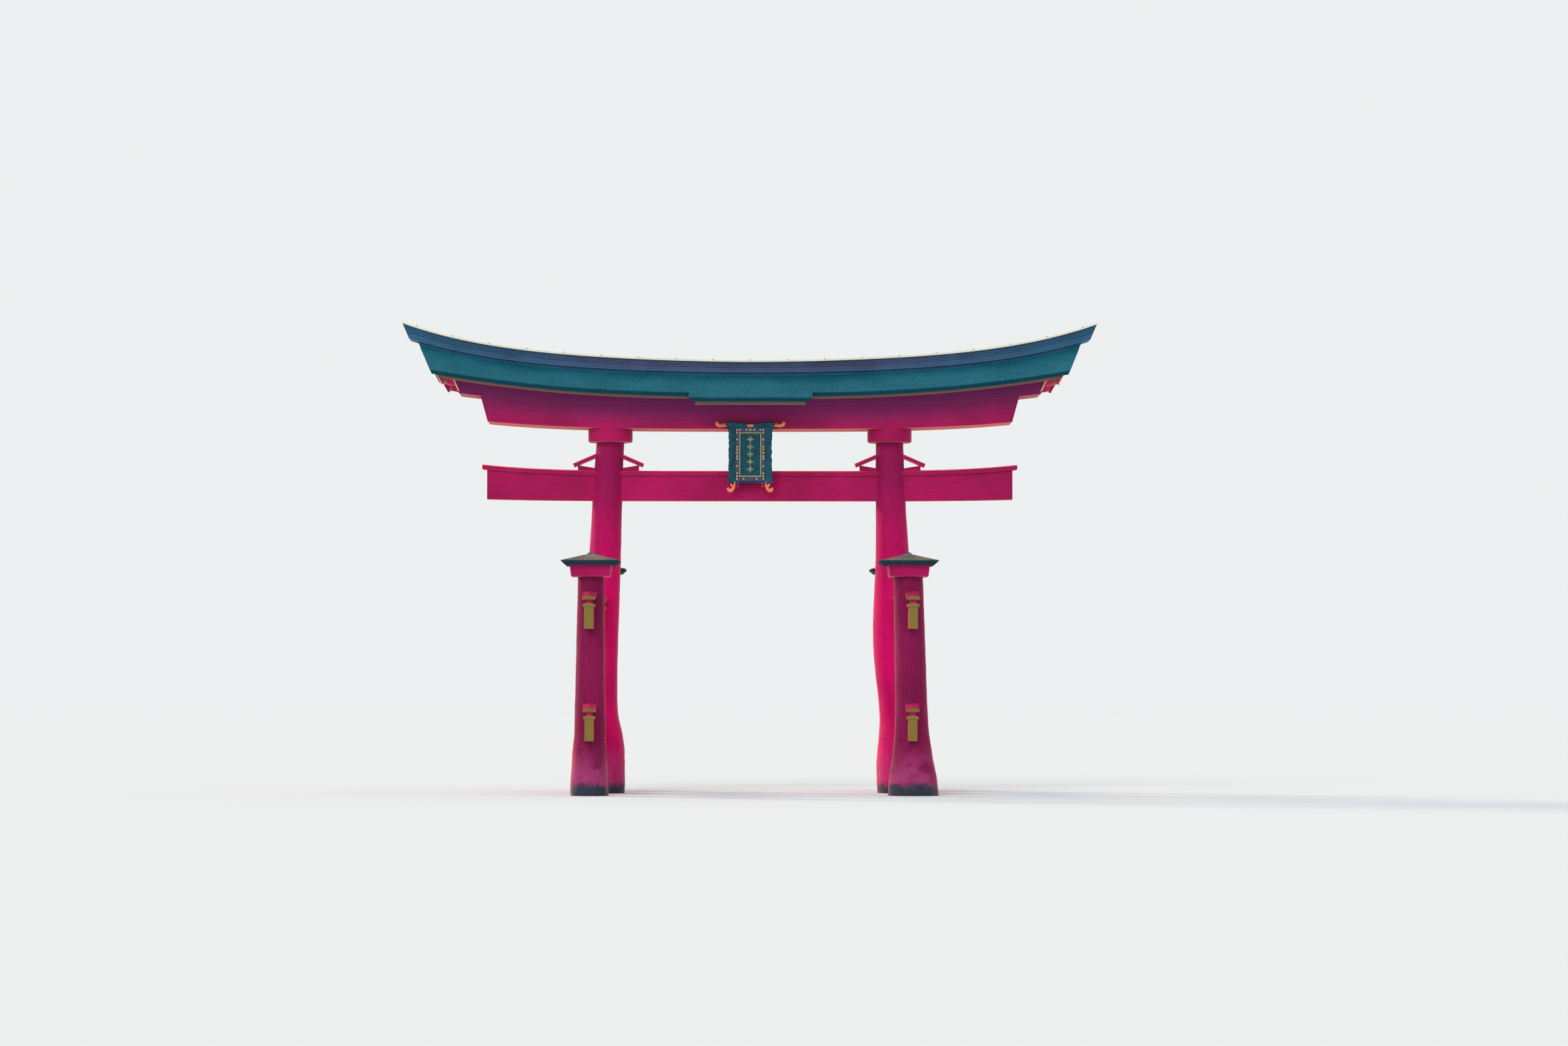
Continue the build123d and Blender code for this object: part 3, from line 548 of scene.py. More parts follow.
def red_paint(name, grain, base=None, trunk=False, ends=None, end_paint=None, shaded=False):
    """Painted wood: grain is its noise stretch, and ends gives what has the end paint. Shaded adds
    painted shade under the eaves, and a trunk gets painted shade at its head.
    """
    f = Finish(name, 0.6, specular=0.1)
    base = base or f.paint.red
    f.shader.inputs["Sheen Weight"].default_value = 1.0
    f.shader.inputs["Sheen Roughness"].default_value = 0.3
    f.shader.inputs["Sheen Tint"].default_value = linear(f.paint.sheen)
    broad = f.cloud(f.place, 0.4, 2.0)
    drawn = f.cloud(f.stretch(f.place, grain), 3.0, 4.0)
    fine = f.cloud(f.place, 24.0, 4.0)
    colour = f.tone(f.ease(0.65 * broad + 0.35 * drawn, 0.36, 0.64), base, 0.78, 1.14)
    colour = f.mix(f.ease(fine, 0.5, 0.7) * 0.3, colour, linear(base, 0.62))
    gloss = 0.5 + 0.25 * fine
    height = 0.3 * drawn + 0.25 * fine
    if shaded:
        # Painted shade: the red darkens towards the eave above it
        eave_shade = f.ease(f.z - EAVE_TOP(f.x) + 0.25 * broad, *EAVE_SHADE_EDGE)
        colour = f.mix(eave_shade * 0.75, colour, linear(f.paint.shaded))
    if trunk:
        # Painted shade: the trunk darkens towards its head, under the lintels and roof
        head = f.ease(f.z + 0.5 * broad, *PILLAR_HEAD_SHADE)
        colour = f.mix(head * 0.8, colour, linear(f.paint.pillar_head_shade))
        edge = f.z + 0.5 * f.cloud(f.place, 1.9, 3.0) + 0.22 * f.cloud(f.place, 9.0, 4.0)
        faded = (1 - f.ease(edge, *FADED_EDGE)) * f.ease(f.cloud(f.place, 1.7), 0.3, 0.56)
        colour = f.mix(faded * 0.8, colour, linear(f.paint.faded))
        splice = 1 - f.ease(abs(f.z - SPLICE_HEIGHT), 0.006, 0.02)
        colour = f.mix(splice * 0.35, colour, linear(base, 0.35))
        wet = 1 - f.ease(edge, *WET_EDGE)
        colour = f.mix(wet, colour, f.tone(f.cloud(f.place, 9.0), f.paint.wet, 0.4, 1.5))
        gloss = gloss - 0.2 * wet
        height = height + 0.6 * wet * f.cloud(f.place, 18.0, 5.0) - 0.5 * splice
    if ends:
        colour = f.mix(ends(f), colour, f.tone(fine, end_paint or f.paint.ochre, 0.8, 1.2))
    return f.surface(colour, gloss, height, 0.012)


def faces_along_y(f, limit=0.5):
    """Faces that look to the front or the back."""
    return abs(f.facing_y).over(limit)


def beam_ends(f):
    return faces_along_y(f, 0.85)


def leaning(f, rake):
    """How far out a place lies, along a plane with this rake, where that passes z = 0."""
    return abs(f.x) - f.z * tan(rake)


def purlin_ends(f):
    return leaning(f, ROOF_END[2]).over(PURLIN_END)


def frame_ends(f):
    low, high = FRAME_END
    place = leaning(f, ROOF_END[2])
    return place.over(low) * (1 - place.over(high))


def barge_highlight_edges(f):
    """Outer half of the bargeboards' narrow front and back edges, which get a pale painted
    highlight.
    """
    return leaning(f, ROOF_END[2]).over(BARGE_MIDDLE) * faces_along_y(f)


def lintel_ends(f):
    """Narrow strip along each raked end of the upper lintel's long faces, under the eave: ochre end
    paint brightened by a painted highlight.
    """
    strip = leaning(f, LINTEL_RAKE).over(LINTEL_STRIP)
    return strip * f.ease(f.z - EAVE_TOP(f.x), -0.56, -0.44) * faces_along_y(f)


def bark_finish():
    """Layered bark: smooth and deep teal up the slope, paler and speckled towards the eave, with
    painted shade on faces that look down.
    """
    f = Finish("Bark", 0.85, specular=0.08)
    broad = f.cloud(f.place, 0.5, 3.0)
    fibre = f.cloud(f.stretch(f.place, (1.0, 5.0, 5.0)), 4.0, 5.0, 0.65)
    fleck = f.cloud(f.place, 20.0, 4.0, 0.75)
    speckle = f.node("ShaderNodeTexVoronoi", inputs={"Vector": f.place, "Scale": 22.0})
    down = f.ease(abs(f.y) + 0.9 * broad, 0.75, 1.75)
    share = f.ease(0.35 * broad + 0.3 * fibre + 0.35 * fleck, 0.38, 0.62)
    deep = f.tone(share, f.paint.bark_deep, 0.8, 1.15)
    colour = f.mix(down, deep, f.tone(share, f.paint.bark, 0.8, 1.25))
    lit = f.ease(fleck, 0.52, 0.68) * (0.15 + 0.45 * down)
    colour = f.mix(lit, colour, linear(f.paint.bark, 2.1))
    pits = (1 - f.ease(speckle, 0.08, 0.3)) * (0.15 + 0.35 * down)
    colour = f.mix(pits, colour, linear(f.paint.bark_deep, 0.55))
    # Painted shade: faces that look down are darkened towards deep teal
    under = f.ease(-1 * f.facing_z, -0.1, 0.35)
    colour = f.mix(under * 0.75, colour, linear(f.paint.bark_deep, 0.42))
    return f.surface(colour, 0.72 + 0.24 * fibre, 0.6 * fibre + 0.5 * fleck, 0.02)


def post_bark_finish():
    """Bark of the small roofs: brown-grey with warm chips on top, deep teal at its edges."""
    f = Finish("Post bark", 0.85, specular=0.2)
    fine = f.cloud(f.place, 18.0, 4.0, 0.7)
    chips = f.cloud(f.stretch(f.place, (1.0, 1.0, 2.0)), 34.0, 2.0, 0.6)
    share = f.ease(0.5 * f.cloud(f.place, 1.4, 3.0) + 0.5 * fine, 0.38, 0.62)
    colour = f.two(share, f.paint.cool_bark, f.paint.warm_bark)
    colour = f.mix(f.ease(chips, 0.52, 0.64) * 0.8, colour, linear(f.paint.chips))
    side = 1 - f.ease(f.facing_z, 0.3, 0.8)
    colour = f.mix(side * 0.92, colour, linear(f.paint.bark_deep, 0.4))
    return f.surface(colour, 0.7 + 0.25 * fine, 0.5 * fine + 0.7 * chips, 0.025)


def board_finish(name, middle, tips, drip=None):
    """Weathered painted boards of the ridge, with a bright drip strip where drip is given."""
    f = Finish(name, 0.6, specular=0.25)
    grain = f.cloud(f.stretch(f.place, (0.35, 9.0, 9.0)), 4.0, 5.0, 0.6)
    stain = f.cloud(f.place, 0.8, 4.0)
    outer = f.ease(abs(f.x) + 2.0 * stain, 4.0, 12.0)
    dark = f.mix(outer, linear(middle, 0.72), linear(tips, 0.72))
    light = f.mix(outer, linear(middle, 1.2), linear(tips, 1.2))
    colour = f.mix(f.ease(0.6 * grain + 0.4 * stain, 0.35, 0.65), dark, light)
    if drip:
        strip = (1 - (f.z - BAND_TOP(f.x)).over(DRIP_HEIGHT)) * faces_along_y(f)
        colour = f.mix(strip * 0.85, colour, linear(drip))
    return f.surface(colour, 0.5 + 0.25 * grain, grain, 0.008)


def cap_finish():
    """Thin dull metal of the ridge cap, paler at its edge."""
    f = Finish("Cap sheet", 0.5, 0.3)
    stain = f.cloud(f.place, 2.2, 4.0)
    top = f.two(f.ease(stain, 0.35, 0.65), f.paint.cap_stain, f.paint.cap)
    edge = f.two(stain, f.paint.cap_dirt, f.paint.cap_edge)
    colour = f.mix(f.ease(f.facing_z, 0.4, 0.8), edge, top)
    return f.surface(colour, 0.3 + 0.3 * stain, f.cloud(f.place, 6.0), 0.004)


def clip_finish():
    """Dark metal of the clips on the ridge cap."""
    f = Finish("Clips", 0.5, 0.6)
    stain = f.cloud(f.place, 30.0, 3.0)
    colour = f.two(stain, f.paint.clip_dirt, f.paint.clip)
    return f.surface(colour, 0.4 + 0.3 * stain)


def finial_finish():
    """Weathered metal of the finials."""
    f = Finish("Weathered metal", 0.5, 0.8)
    stain = f.cloud(f.place, 12.0, 4.0)
    share = f.ease(stain, 0.4, 0.62)
    colour = f.two(share, f.paint.finial_dirt, f.paint.finial)
    return f.surface(colour, 0.4 + 0.3 * stain, stain, 0.003)


def eave_line_finish():
    """Ochre paint with a long grain."""
    f = Finish("Ochre paint", 0.6)
    grain = f.cloud(f.stretch(f.place, (0.4, 8.0, 8.0)), 4.0, 4.0)
    colour = f.tone(grain, f.paint.eave_line, 0.75, 1.2)
    return f.surface(colour, 0.5 + 0.2 * grain, grain, 0.005)


def lacquer_finish(name, base, lift):
    """Lacquered wood with slight wear."""
    f = Finish(name, 0.4, specular=0.25)
    cloudy = f.cloud(f.place, 5.0, 4.0)
    colour = f.tone(f.ease(cloudy, 0.35, 0.65), base, 0.75, lift)
    height = 0.7 * cloudy + 0.3 * f.cloud(f.place, 60.0, 3.0)
    return f.surface(colour, 0.3 + 0.25 * cloudy, height, 0.003)


def gold_finish(name, base, metallic):
    """Gilding, darker where dirt has settled, with a painted highlight on its upper sides."""
    f = Finish(name, 0.35, metallic)
    cloudy = f.cloud(f.place, 14.0, 4.0)
    colour = f.tone(f.ease(cloudy, 0.3, 0.6), base, 0.75, 1.05)
    # Painted highlight: faces that look up turn paler gold
    upper = f.ease(f.facing_z, 0.1, 0.9)
    colour = f.mix(upper * 0.6, colour, linear(f.paint.gold_highlight))
    return f.surface(colour, 0.28 + 0.22 * cloudy, cloudy, 0.003)


FINISHES = {}
SPECIAL_FINISHES = {
    "gable_purlins": "red_purlin",
    "bargeboards": "red_barge",
    "roof_frame": "red_frame",
    "upper_lintel": "red_upper_lintel",
    "lower_lintel": "red_lower_lintel",
    "ridge_band": "ridge_band",
}


class GateOperator(bpy.types.Operator):
    """Shared options of the gate's operators."""

    bl_options = {"REGISTER", "UNDO"}


class GATE_OT_paint(GateOperator):
    """Make the finishes and give each CAD node its own"""

    bl_idname = "gate.paint"
    bl_label = "Paint the frame"

    def execute(self, context):
        paint = context.scene.gate_paint
        FINISHES.update(
            red_trunk=red_paint("Red trunk", GRAIN_UP, paint.trunk_red, trunk=True),
            # Sleeve posts take the darkened trunk red, as painted shade
            red_post=red_paint("Red post", GRAIN_UP, paint.shaded_post_red, trunk=True),
            red_beam=red_paint("Red beam", GRAIN_X),
            red_cover=red_paint("Red cover", NO_GRAIN),
            red_side=red_paint("Red side beam", GRAIN_Y, ends=beam_ends),
            red_lower_lintel=red_paint("Red lintel", GRAIN_X, shaded=True),
            red_upper_lintel=red_paint(
                "Red upper lintel",
                GRAIN_X,
                ends=lintel_ends,
                end_paint=paint.end_strip_highlight,
                shaded=True,
            ),
            red_frame=red_paint("Red roof frame", GRAIN_X, ends=frame_ends, shaded=True),
            red_barge=red_paint(
                "Red bargeboard", BOARD_GRAIN, ends=barge_highlight_edges, end_paint=paint.barge_edge_highlight
            ),
            red_purlin=red_paint(
                "Red purlin",
                GRAIN_X,
                paint.purlin_red,
                ends=purlin_ends,
                end_paint=paint.purlin_end,
            ),
            bark=bark_finish(),
            post_bark=post_bark_finish(),
            ridge_boards=board_finish("Ridge boards", paint.ridge, paint.ridge_end, paint.drip),
            ridge_band=board_finish("Ridge band", paint.ridge_band, paint.ridge_band),
            ridge_sheet=cap_finish(),
            clip_metal=clip_finish(),
            ochre_line=eave_line_finish(),
            finial_metal=finial_finish(),
            plaque_wood=lacquer_finish("Plaque lacquer", paint.lacquer, 1.3),
            plaque_band=lacquer_finish("Plaque band", paint.band, 1.2),
            plaque_gilding=gold_finish("Gilding", paint.gold, 0.35),
            stud_gold=gold_finish("Stud gilding", paint.stud_gold, 0.35),
            dull_gold=gold_finish("Dull gilding", paint.dull_gold, 0.3),
        )
        slots = {part["node"]: part["material_slot"] for part in frame["record"]["subparts"]}
        for node, part in frame["nodes"].items():
            finish = SPECIAL_FINISHES.get(node, slots[node])
            if node.startswith("side_beam") and node != "side_beam_wedges":
                finish = "red_side"
            part.data.materials.clear()
            part.data.materials.append(FINISHES[finish])
        return {"FINISHED"}


# Sizes of a trunk, in metres from the middle and from the ground
LOG_SIZES = (
    "Foot X", "Head X", "Bow", "Head radius", "Taper", "Flare", "Flare height", "Flare power",
    "Lean power", "Bulge", "Bulge height",
)  # fmt: skip
PILLARS = {
    "left": (-5.3, -4.87, 0.06, 0.48, 0.0182, 0.238, 2.418, 6.2, 0.8, 0.0, 4.4),
    "right": (5.45, 4.87, 0.05, 0.48, 0.0182, 0.316, 2.005, 2.8, 1.5, 0.175, 5.2),
}
SLEEVE_POSTS = {
    "left": (-5.43, -5.4, 0.0, 0.444, 0.016, 0.078, 0.95, 1.5, 1.0, 0.0, 5.2),
    "right": (5.48, 5.325, 0.0, 0.495, 0.011, 0.274, 1.45, 2.0, 1.0, 0.0, 5.2),
}
PILLAR_HEIGHT = 12.207
POST_HEIGHT = 7.383
POST_Y = 3.9
BULGE_SPREAD = 2.4
FOOT_SPREAD = 2.2


def trunk_tree():
    """A leaning trunk whose radius grows to its foot, hewn and lobed by noise."""
    numbers = ("Height", "Centre Y", *LOG_SIZES, "Hewing", "Roots", "Seed")
    kinds = {"Around": "Int", "Along": "Int", **dict.fromkeys(numbers, "Float")}
    nodes, v = geometry_tree("Hewn trunk", {**kinds, "Paint": "Material"})
    sides = {"Vertices": v["Around"], "Side Segments": v["Along"]}
    tube = nodes.node("GeometryNodeMeshCylinder", inputs={**sides, "Radius": 1.0, "Depth": 1.0})
    x, y, low = nodes.split(nodes.node("GeometryNodeInputPosition"))
    share = low + 0.5
    height = share * v["Height"]
    swell = (-1 * ((height - v["Bulge height"]) / BULGE_SPREAD) ** 2.0).exp()
    flare = v["Flare"] * (-1 * (height / v["Flare height"]) ** v["Flare power"]).exp()
    cone = v["Head radius"] + v["Taper"] * (v["Height"] - height)
    foot = (-1 * (height / FOOT_SPREAD) ** 2.0).exp()
    lobes = nodes.cloud(nodes.join(x * 1.5 + v["Seed"], y * 1.5, height * 0.3), 1.0, 1.0) - 0.5
    hewn = nodes.cloud(nodes.join(x * 1.6 + v["Seed"], y * 1.6, height * 1.1), 1.6, 4.0) - 0.5
    radius = (cone + flare + v["Bulge"] * swell) * (1 + v["Roots"] * 2.0 * lobes * foot)
    radius = radius + v["Hewing"] * hewn * (1.0 + foot) * 2.0
    lean = (v["Foot X"] - v["Head X"]) * (1 - share) ** v["Lean power"]
    centre = v["Head X"] + lean - v["Bow"] * swell
    spot = nodes.join(centre + x * radius, v["Centre Y"] + y * radius, height)
    shaped = nodes.node("GeometryNodeSetPosition", inputs={"Geometry": tube, "Position": spot})
    return end_tree(nodes, shaped, v["Paint"])


class GATE_OT_trunks(GateOperator):
    """Dress each log as a hewn trunk with a lobed foot"""

    bl_idname = "gate.trunks"
    bl_label = "Trunks"

    def execute(self, context):
        settings = context.scene.gate_trunks
        tree = trunk_tree()
        logs = [("main_pillar", side, 0.0, sizes) for side, sizes in PILLARS.items()]
        for face, away in FACES.items():
            for side, sizes in SLEEVE_POSTS.items():
                logs.append((f"sleeve_post_{face}", side, POST_Y * away, sizes))
        for seed, (kind, side, y, sizes) in enumerate(logs):
            node = f"{kind}_{side}"
            pillar = kind == "main_pillar"
            values = {
                "Around": settings.around,
                "Along": settings.along,
                "Height": PILLAR_HEIGHT if pillar else POST_HEIGHT,
                "Centre Y": y,
                **dict(zip(LOG_SIZES, sizes)),
                "Hewing": settings.hewing,
                "Roots": settings.roots,
                "Seed": 3.7 * seed,
                "Paint": FINISHES["red_trunk" if pillar else "red_post"],
            }
            grow("hewn_" + node, tree, values, points_mesh([]), [node], smooth=50)
        return {"FINISHED"}


def dropped_eave(face, settings):
    """One of the eaves that hang lower over the gateway, before its ends are cut."""
    root_y = UNDERCUT_Y + 0.01
    steps = 6
    half = []
    for i in range(steps + 1):
        y = UNDERCUT_Y + (CENTRE_EAVE_Y - UNDERCUT_Y) * i / steps
        half.append((y, raised(slope_line(y), CENTRE_EAVE_PROUD)))
    inner_y = CENTRE_EAVE_Y - EAVE_Y + UNDERCUT_Y
    edge_line = slope_line(CENTRE_EAVE_Y)
    half += layered_edge(CENTRE_EAVE_Y, inner_y, EDGE_DROP, edge_line, settings.layers)
    half += [(y, under_line(y)) for y in (inner_y, root_y)]
    profile = [(face * y, line) for y, line in half]
    end = (CENTRE_EAVE_HALF, CENTRE_EAVE_CORNER[1], 0.0)
    return long_board(profile, end, 60, bark_relief(settings.sag))


def cut_eave_ends(work):
    """Cut both ends of the dropped eaves to their rake."""
    reach, height, rake = CENTRE_EAVE_CORNER
    for side in (-1, 1):
        cut = bmesh.ops.bisect_plane(
            work,
            geom=[*work.verts, *work.edges, *work.faces],
            plane_co=(side * reach, 0, height),
            plane_no=(side * cos(rake), 0, -sin(rake)),
            clear_outer=True,
        )
        edges = [part for part in cut["geom_cut"] if isinstance(part, bmesh.types.BMEdge)]
        bmesh.ops.edgenet_fill(work, edges=edges)


def bark_verge(side, layers):
    """Layers that show in one raked end face of the bark."""
    section = [(-VERGE_BITE, 0.0)]
    for i in range(layers):
        jog = 0.004 if i % 2 else 0.014
        section += [(jog, -VERGE_HEIGHT * i / layers), (jog, -VERGE_HEIGHT * (i + 1) / layers)]
    section.append((-VERGE_BITE, -VERGE_HEIGHT))
    steps = 8
    places = [UNDERCUT_Y - (UNDERCUT_Y - FLAT_Y) * i / steps for i in range(steps + 1)]
    places += [-y for y in reversed(places)]
    reach, height, rake = ROOF_END
    rings = []
    for y in places:
        line = under_line(abs(y))
        ring = []
        for depth, drop in section:
            x = reach
            for _ in range(4):
                x = reach + depth + (line(x) - drop - height) * tan(rake)
            ring.append(Vector((side * x, y, line(x) - drop)))
        rings.append(ring)
    return ring_mesh(rings)


class GATE_OT_bark(GateOperator):
    """Lay the bark roof and its dropped eaves, with layered edges"""

    bl_idname = "gate.bark"
    bl_label = "Bark roof"

    def execute(self, context):
        settings = context.scene.gate_roof
        rows = 14
        half = [(FLAT_Y * i / 3, ROOF_TOP) for i in range(3)]
        for i in range(rows + 1):
            y = FLAT_Y + (EAVE_Y - FLAT_Y) * i / rows
            half.append((y, slope_line(y)))
        half += layered_edge(EAVE_Y, UNDERCUT_Y, EDGE_DROP, EAVE_TOP, settings.layers)
        half += [(UNDERCUT_Y, under_line(UNDERCUT_Y)), (FLAT_Y, under_line(FLAT_Y))]
        half += [(FLAT_Y / 2, under_line(FLAT_Y))]
        relief = bark_relief(settings.sag)
        mesh = long_board(both_faces(half), ROOF_END, settings.stations, relief)
        add_piece("bark_thatch", mesh, "bark", ["bark_roof"], smooth=30)
        verges = joined_work([bark_verge(side, settings.layers) for side in (-1, 1)])
        add_piece("bark_verge", made_mesh(verges), "bark", smooth=30)
        eaves = joined_work([dropped_eave(face, settings) for face in FACES.values()])
        cut_eave_ends(eaves)
        mesh = outward(made_mesh(eaves))
        add_piece("dropped_eaves", mesh, "bark", ["centre_eaves"], smooth=30)
        return {"FINISHED"}


class GATE_OT_eave_lines(GateOperator):
    """Nail the ochre boards under the eaves"""

    bl_idname = "gate.eave_lines"
    bl_label = "Eave lines"

    def execute(self, context):
        steps = 200
        bevel = 0.006
        low = raised(EAVE_TOP, -EDGE_DROP - EAVE_LINE_HEIGHT)
        straight = long_line(CENTRE_LINE_FOOT, 0, 1, 0, 0, 0)
        boards = []
        for y, foot, end in (
            (EAVE_LINE_Y, low, EAVE_LINE_END),
            (CENTRE_LINE_Y, straight, (CENTRE_LINE_HALF, CENTRE_LINE_FOOT, 0.0)),
        ):
            outer = y + EAVE_LINE_WIDTH
            profile = [
                (y, foot),
                (outer - bevel, foot),
                (outer, raised(foot, bevel)),
                (outer, under_line(outer)),
                (y, under_line(y)),
            ]
            for face in FACES.values():
                section = [(face * depth, line) for depth, line in profile]
                boards.append(long_board(section, end, steps))
        mesh = outward(made_mesh(joined_work(boards)))
        add_piece("eave_lines", mesh, "ochre_line", ["eave_fascias"])
        return {"FINISHED"}


def square_rings(centre, rings, per_side, relief):
    """Closed mesh of square rings about a centre: rings holds (half width, height)."""
    made = []
    for half, height in rings:
        ring = []
        for corner in range(4):
            turn = Matrix.Rotation(corner * pi / 2, 3, "Z")
            for i in range(per_side):
                point = turn @ Vector((half, half * (2 * i / per_side - 1), 0))
                point += Vector((*centre, height))
                ring.append(point + relief(point))
        made.append(ring)
    return ring_mesh(made)


class GATE_OT_post_roofs(GateOperator):
    """Lay the small bark roofs on the sleeve posts"""

    bl_idname = "gate.post_roofs"
    bl_label = "Post roofs"

    def execute(self, context):
        settings = context.scene.gate_roof
        half, inset, neck, seat = 0.99, 0.17, 0.11, 0.6
        eave, apex, foot = 7.912, 8.15, 7.757
        slopes, layers, dip = 12, 5, 0.016
        relief = bark_relief(settings.sag * 0.5)
        roofs = []
        for head in (SLEEVE_POSTS["left"][1], SLEEVE_POSTS["right"][1]):
            for face in FACES.values():
                rings = [(neck / 2, apex)]
                for i in range(slopes + 1):
                    share = i / slopes
                    low = apex + (eave - apex) * share - dip * share * (1 - share)
                    rings.append((neck + (half - neck) * share, low))
                for i in range(layers):
                    low = eave - (eave - foot) * i / layers - 0.004
                    rings.append((half - inset * i / layers - 0.004 * (i % 2), low))
                    low = eave - (eave - foot) * (i + 1) / layers
                    rings.append((half - inset * i / layers - 0.01, low))
                rings += [(half - inset, foot), (seat, foot)]
                roofs.append(square_rings((head, face * POST_Y), rings, 16, relief))
        mesh = made_mesh(joined_work(roofs))
        add_piece("post_bark_roofs", mesh, "bark", ["post_roofs"], "post_bark", smooth=30)
        return {"FINISHED"}


class GATE_OT_ridge(GateOperator):
    """Board the ridge with lapped boards"""

    bl_idname = "gate.ridge"
    bl_label = "Ridge boards"

    def execute(self, context):
        settings = context.scene.gate_ridge
        groove = 0.04
        inner = RIDGE_Y - settings.lap
        joints = (0.0, 0.45, 0.6, 0.74, 0.87, 1.0)
        half = [
            (RIDGE_Y + DRIP_PROUD, BAND_TOP),
            (RIDGE_Y + DRIP_PROUD, raised(BAND_TOP, DRIP_HEIGHT)),
            (RIDGE_Y, raised(BAND_TOP, DRIP_HEIGHT)),
        ]
        for low, high in zip(joints, joints[1:]):
            if low > 0:
                half.append((RIDGE_Y, between(BAND_TOP, BOX_TOP, low + groove)))
            half.append((RIDGE_Y, between(BAND_TOP, BOX_TOP, high)))
            if high < 1:
                half.append((inner, between(BAND_TOP, BOX_TOP, high)))
                half.append((inner, between(BAND_TOP, BOX_TOP, high + groove)))
        mesh = long_board(both_faces(half), RIDGE_END, 200)
        add_piece("ridge_lapped_boards", mesh, "ridge_boards", ["ridge_box"], smooth=20)
        return {"FINISHED"}


def clip_tree():
    """Small wire arches, evenly spaced along a line."""
    kinds = {"Spacing": "Float", "Wire": "Float", "Size": "Float", "Metal": "Material"}
    nodes, v = geometry_tree("Wire clips", kinds)
    line = nodes.node("GeometryNodeMeshToCurve", inputs={"Mesh": v["Geometry"]})
    spots = nodes.node(
        "GeometryNodeCurveToPoints", {"mode": "LENGTH"}, {"Curve": line, "Length": v["Spacing"]}
    )
    circle = "GeometryNodeCurvePrimitiveCircle"
    ring = nodes.node(circle, inputs={"Resolution": 16, "Radius": v["Size"]})
    section = nodes.node(circle, inputs={"Resolution": 6, "Radius": v["Wire"]})
    wire = nodes.node("GeometryNodeCurveToMesh", inputs={0: ring, "Profile Curve": section})
    return end_tree(nodes, nodes.copies(spots, wire, (pi / 2, 0.0, 0.0)), v["Metal"])


class GATE_OT_clips(GateOperator):
    """Set the wire clips along the ridge cap"""

    bl_idname = "gate.clips"
    bl_label = "Ridge clips"

    def execute(self, context):
        settings = context.scene.gate_ridge
        steps = 80
        reach = 11.6
        spots, edges = [], []
        for y in (-RIDGE_Y, RIDGE_Y):
            for i in range(steps + 1):
                x = reach * (2 * i / steps - 1)
                if i > 0:
                    edges.append((len(spots) - 1, len(spots)))
                spots.append((x, y, RIDGE_TOP(x)))
        values = {
            "Spacing": settings.clip_spacing,
            "Wire": settings.clip_wire,
            "Size": settings.clip_radius,
            "Metal": FINISHES["clip_metal"],
        }
        grow("ridge_clips", clip_tree(), values, points_mesh(spots, edges))
        return {"FINISHED"}


# Plaque: u runs right, v up the board from its foot, w out of the board's back
PLAQUE_FOOT = Vector((0, -0.45, 10.79))
TILT = radians(9.5)
PLAQUE_U = Vector((1, 0, 0))
PLAQUE_V = Vector((0, -sin(TILT), cos(TILT)))
PLAQUE_W = Vector((0, -cos(TILT), -sin(TILT)))
FRAME_HALF = 0.775
FRAME_HEIGHT = 2.1
BAND_HALF = 0.515
BAND_LOW = 0.05
BAND_HIGH = 1.91
LINE_HALF = 0.39
LINE_LOW = 0.2
LINE_HIGH = 1.765
LINE_WIDTH = 0.048
STUD_X = 0.455
STUD_FLATNESS = 0.7
BOARD_TURN = (pi / 2 + TILT, 0.0, 0.0)
PANEL_W = 0.1
BAND_W = 0.135
LINE_W = 0.155


def on_plaque(u, v, w):
    return PLAQUE_FOOT + PLAQUE_U * u + PLAQUE_V * v + PLAQUE_W * w


def corners_of(half, low, high):
    """Corners of a rectangle on the board, from its lower left one."""
    return [(-half, low), (half, low), (half, high), (-half, high)]


def rectangle_at(share, half, low, high):
    """Point on a rectangle's outline, share of the way round from its lower left corner."""
    corners = corners_of(half, low, high)
    spans = [2 * half, high - low] * 2
    along = share * sum(spans)
    for (u, v), span, way in zip(corners, spans, ((1, 0), (0, 1), (-1, 0), (0, -1))):
        if along <= span:
            return u + way[0] * along, v + way[1] * along
        along -= span
    return corners[0]


def rough(u, v, level=0.0):
    """Smooth noise between about -1 and 1."""
    return noise.noise(Vector((u, v, level)))


def carved_outline(share, wave):
    """Outer edge of the frame: wider at the top, with carved waves along the sides."""
    u, v = rectangle_at(share, FRAME_HALF, 0.0, FRAME_HEIGHT)
    side = abs(u) / FRAME_HALF
    height = v / FRAME_HEIGHT
    on_side, on_top, on_foot = side > 0.99, height > 0.99, height < 0.01
    flare = 0.09 * max(0.0, (height - 0.86) / 0.14) ** 1.5 - 0.03 * sin(pi * height)
    sway = wave * (0.9 * rough(u, v * 7) + 0.7 * rough(u, v * 21, 5))
    scoop = -0.05 * (1 - side) * (1 - side) if on_top else 0.0
    widening = (flare + sway) * on_side * (1 if u > 0 else -1) + flare * u * on_top
    ragged = 0.5 * rough(u * 9, v, 9) + 0.4 * rough(u * 25, v, 3)
    return u + widening, v + scoop + wave * ragged * (on_top or on_foot)


def rectangle_loop(half, low, high, w):
    """Corners of a rectangle at a level above the board's back."""
    return [on_plaque(u, v, w) for u, v in corners_of(half, low, high)]


def framed_ring(loops):
    """Closed ring whose section passes through the given loops."""
    sections = [list(section) for section in zip(*loops)]
    sections.append(sections[0])
    return ring_mesh(sections, closed_ends=False)


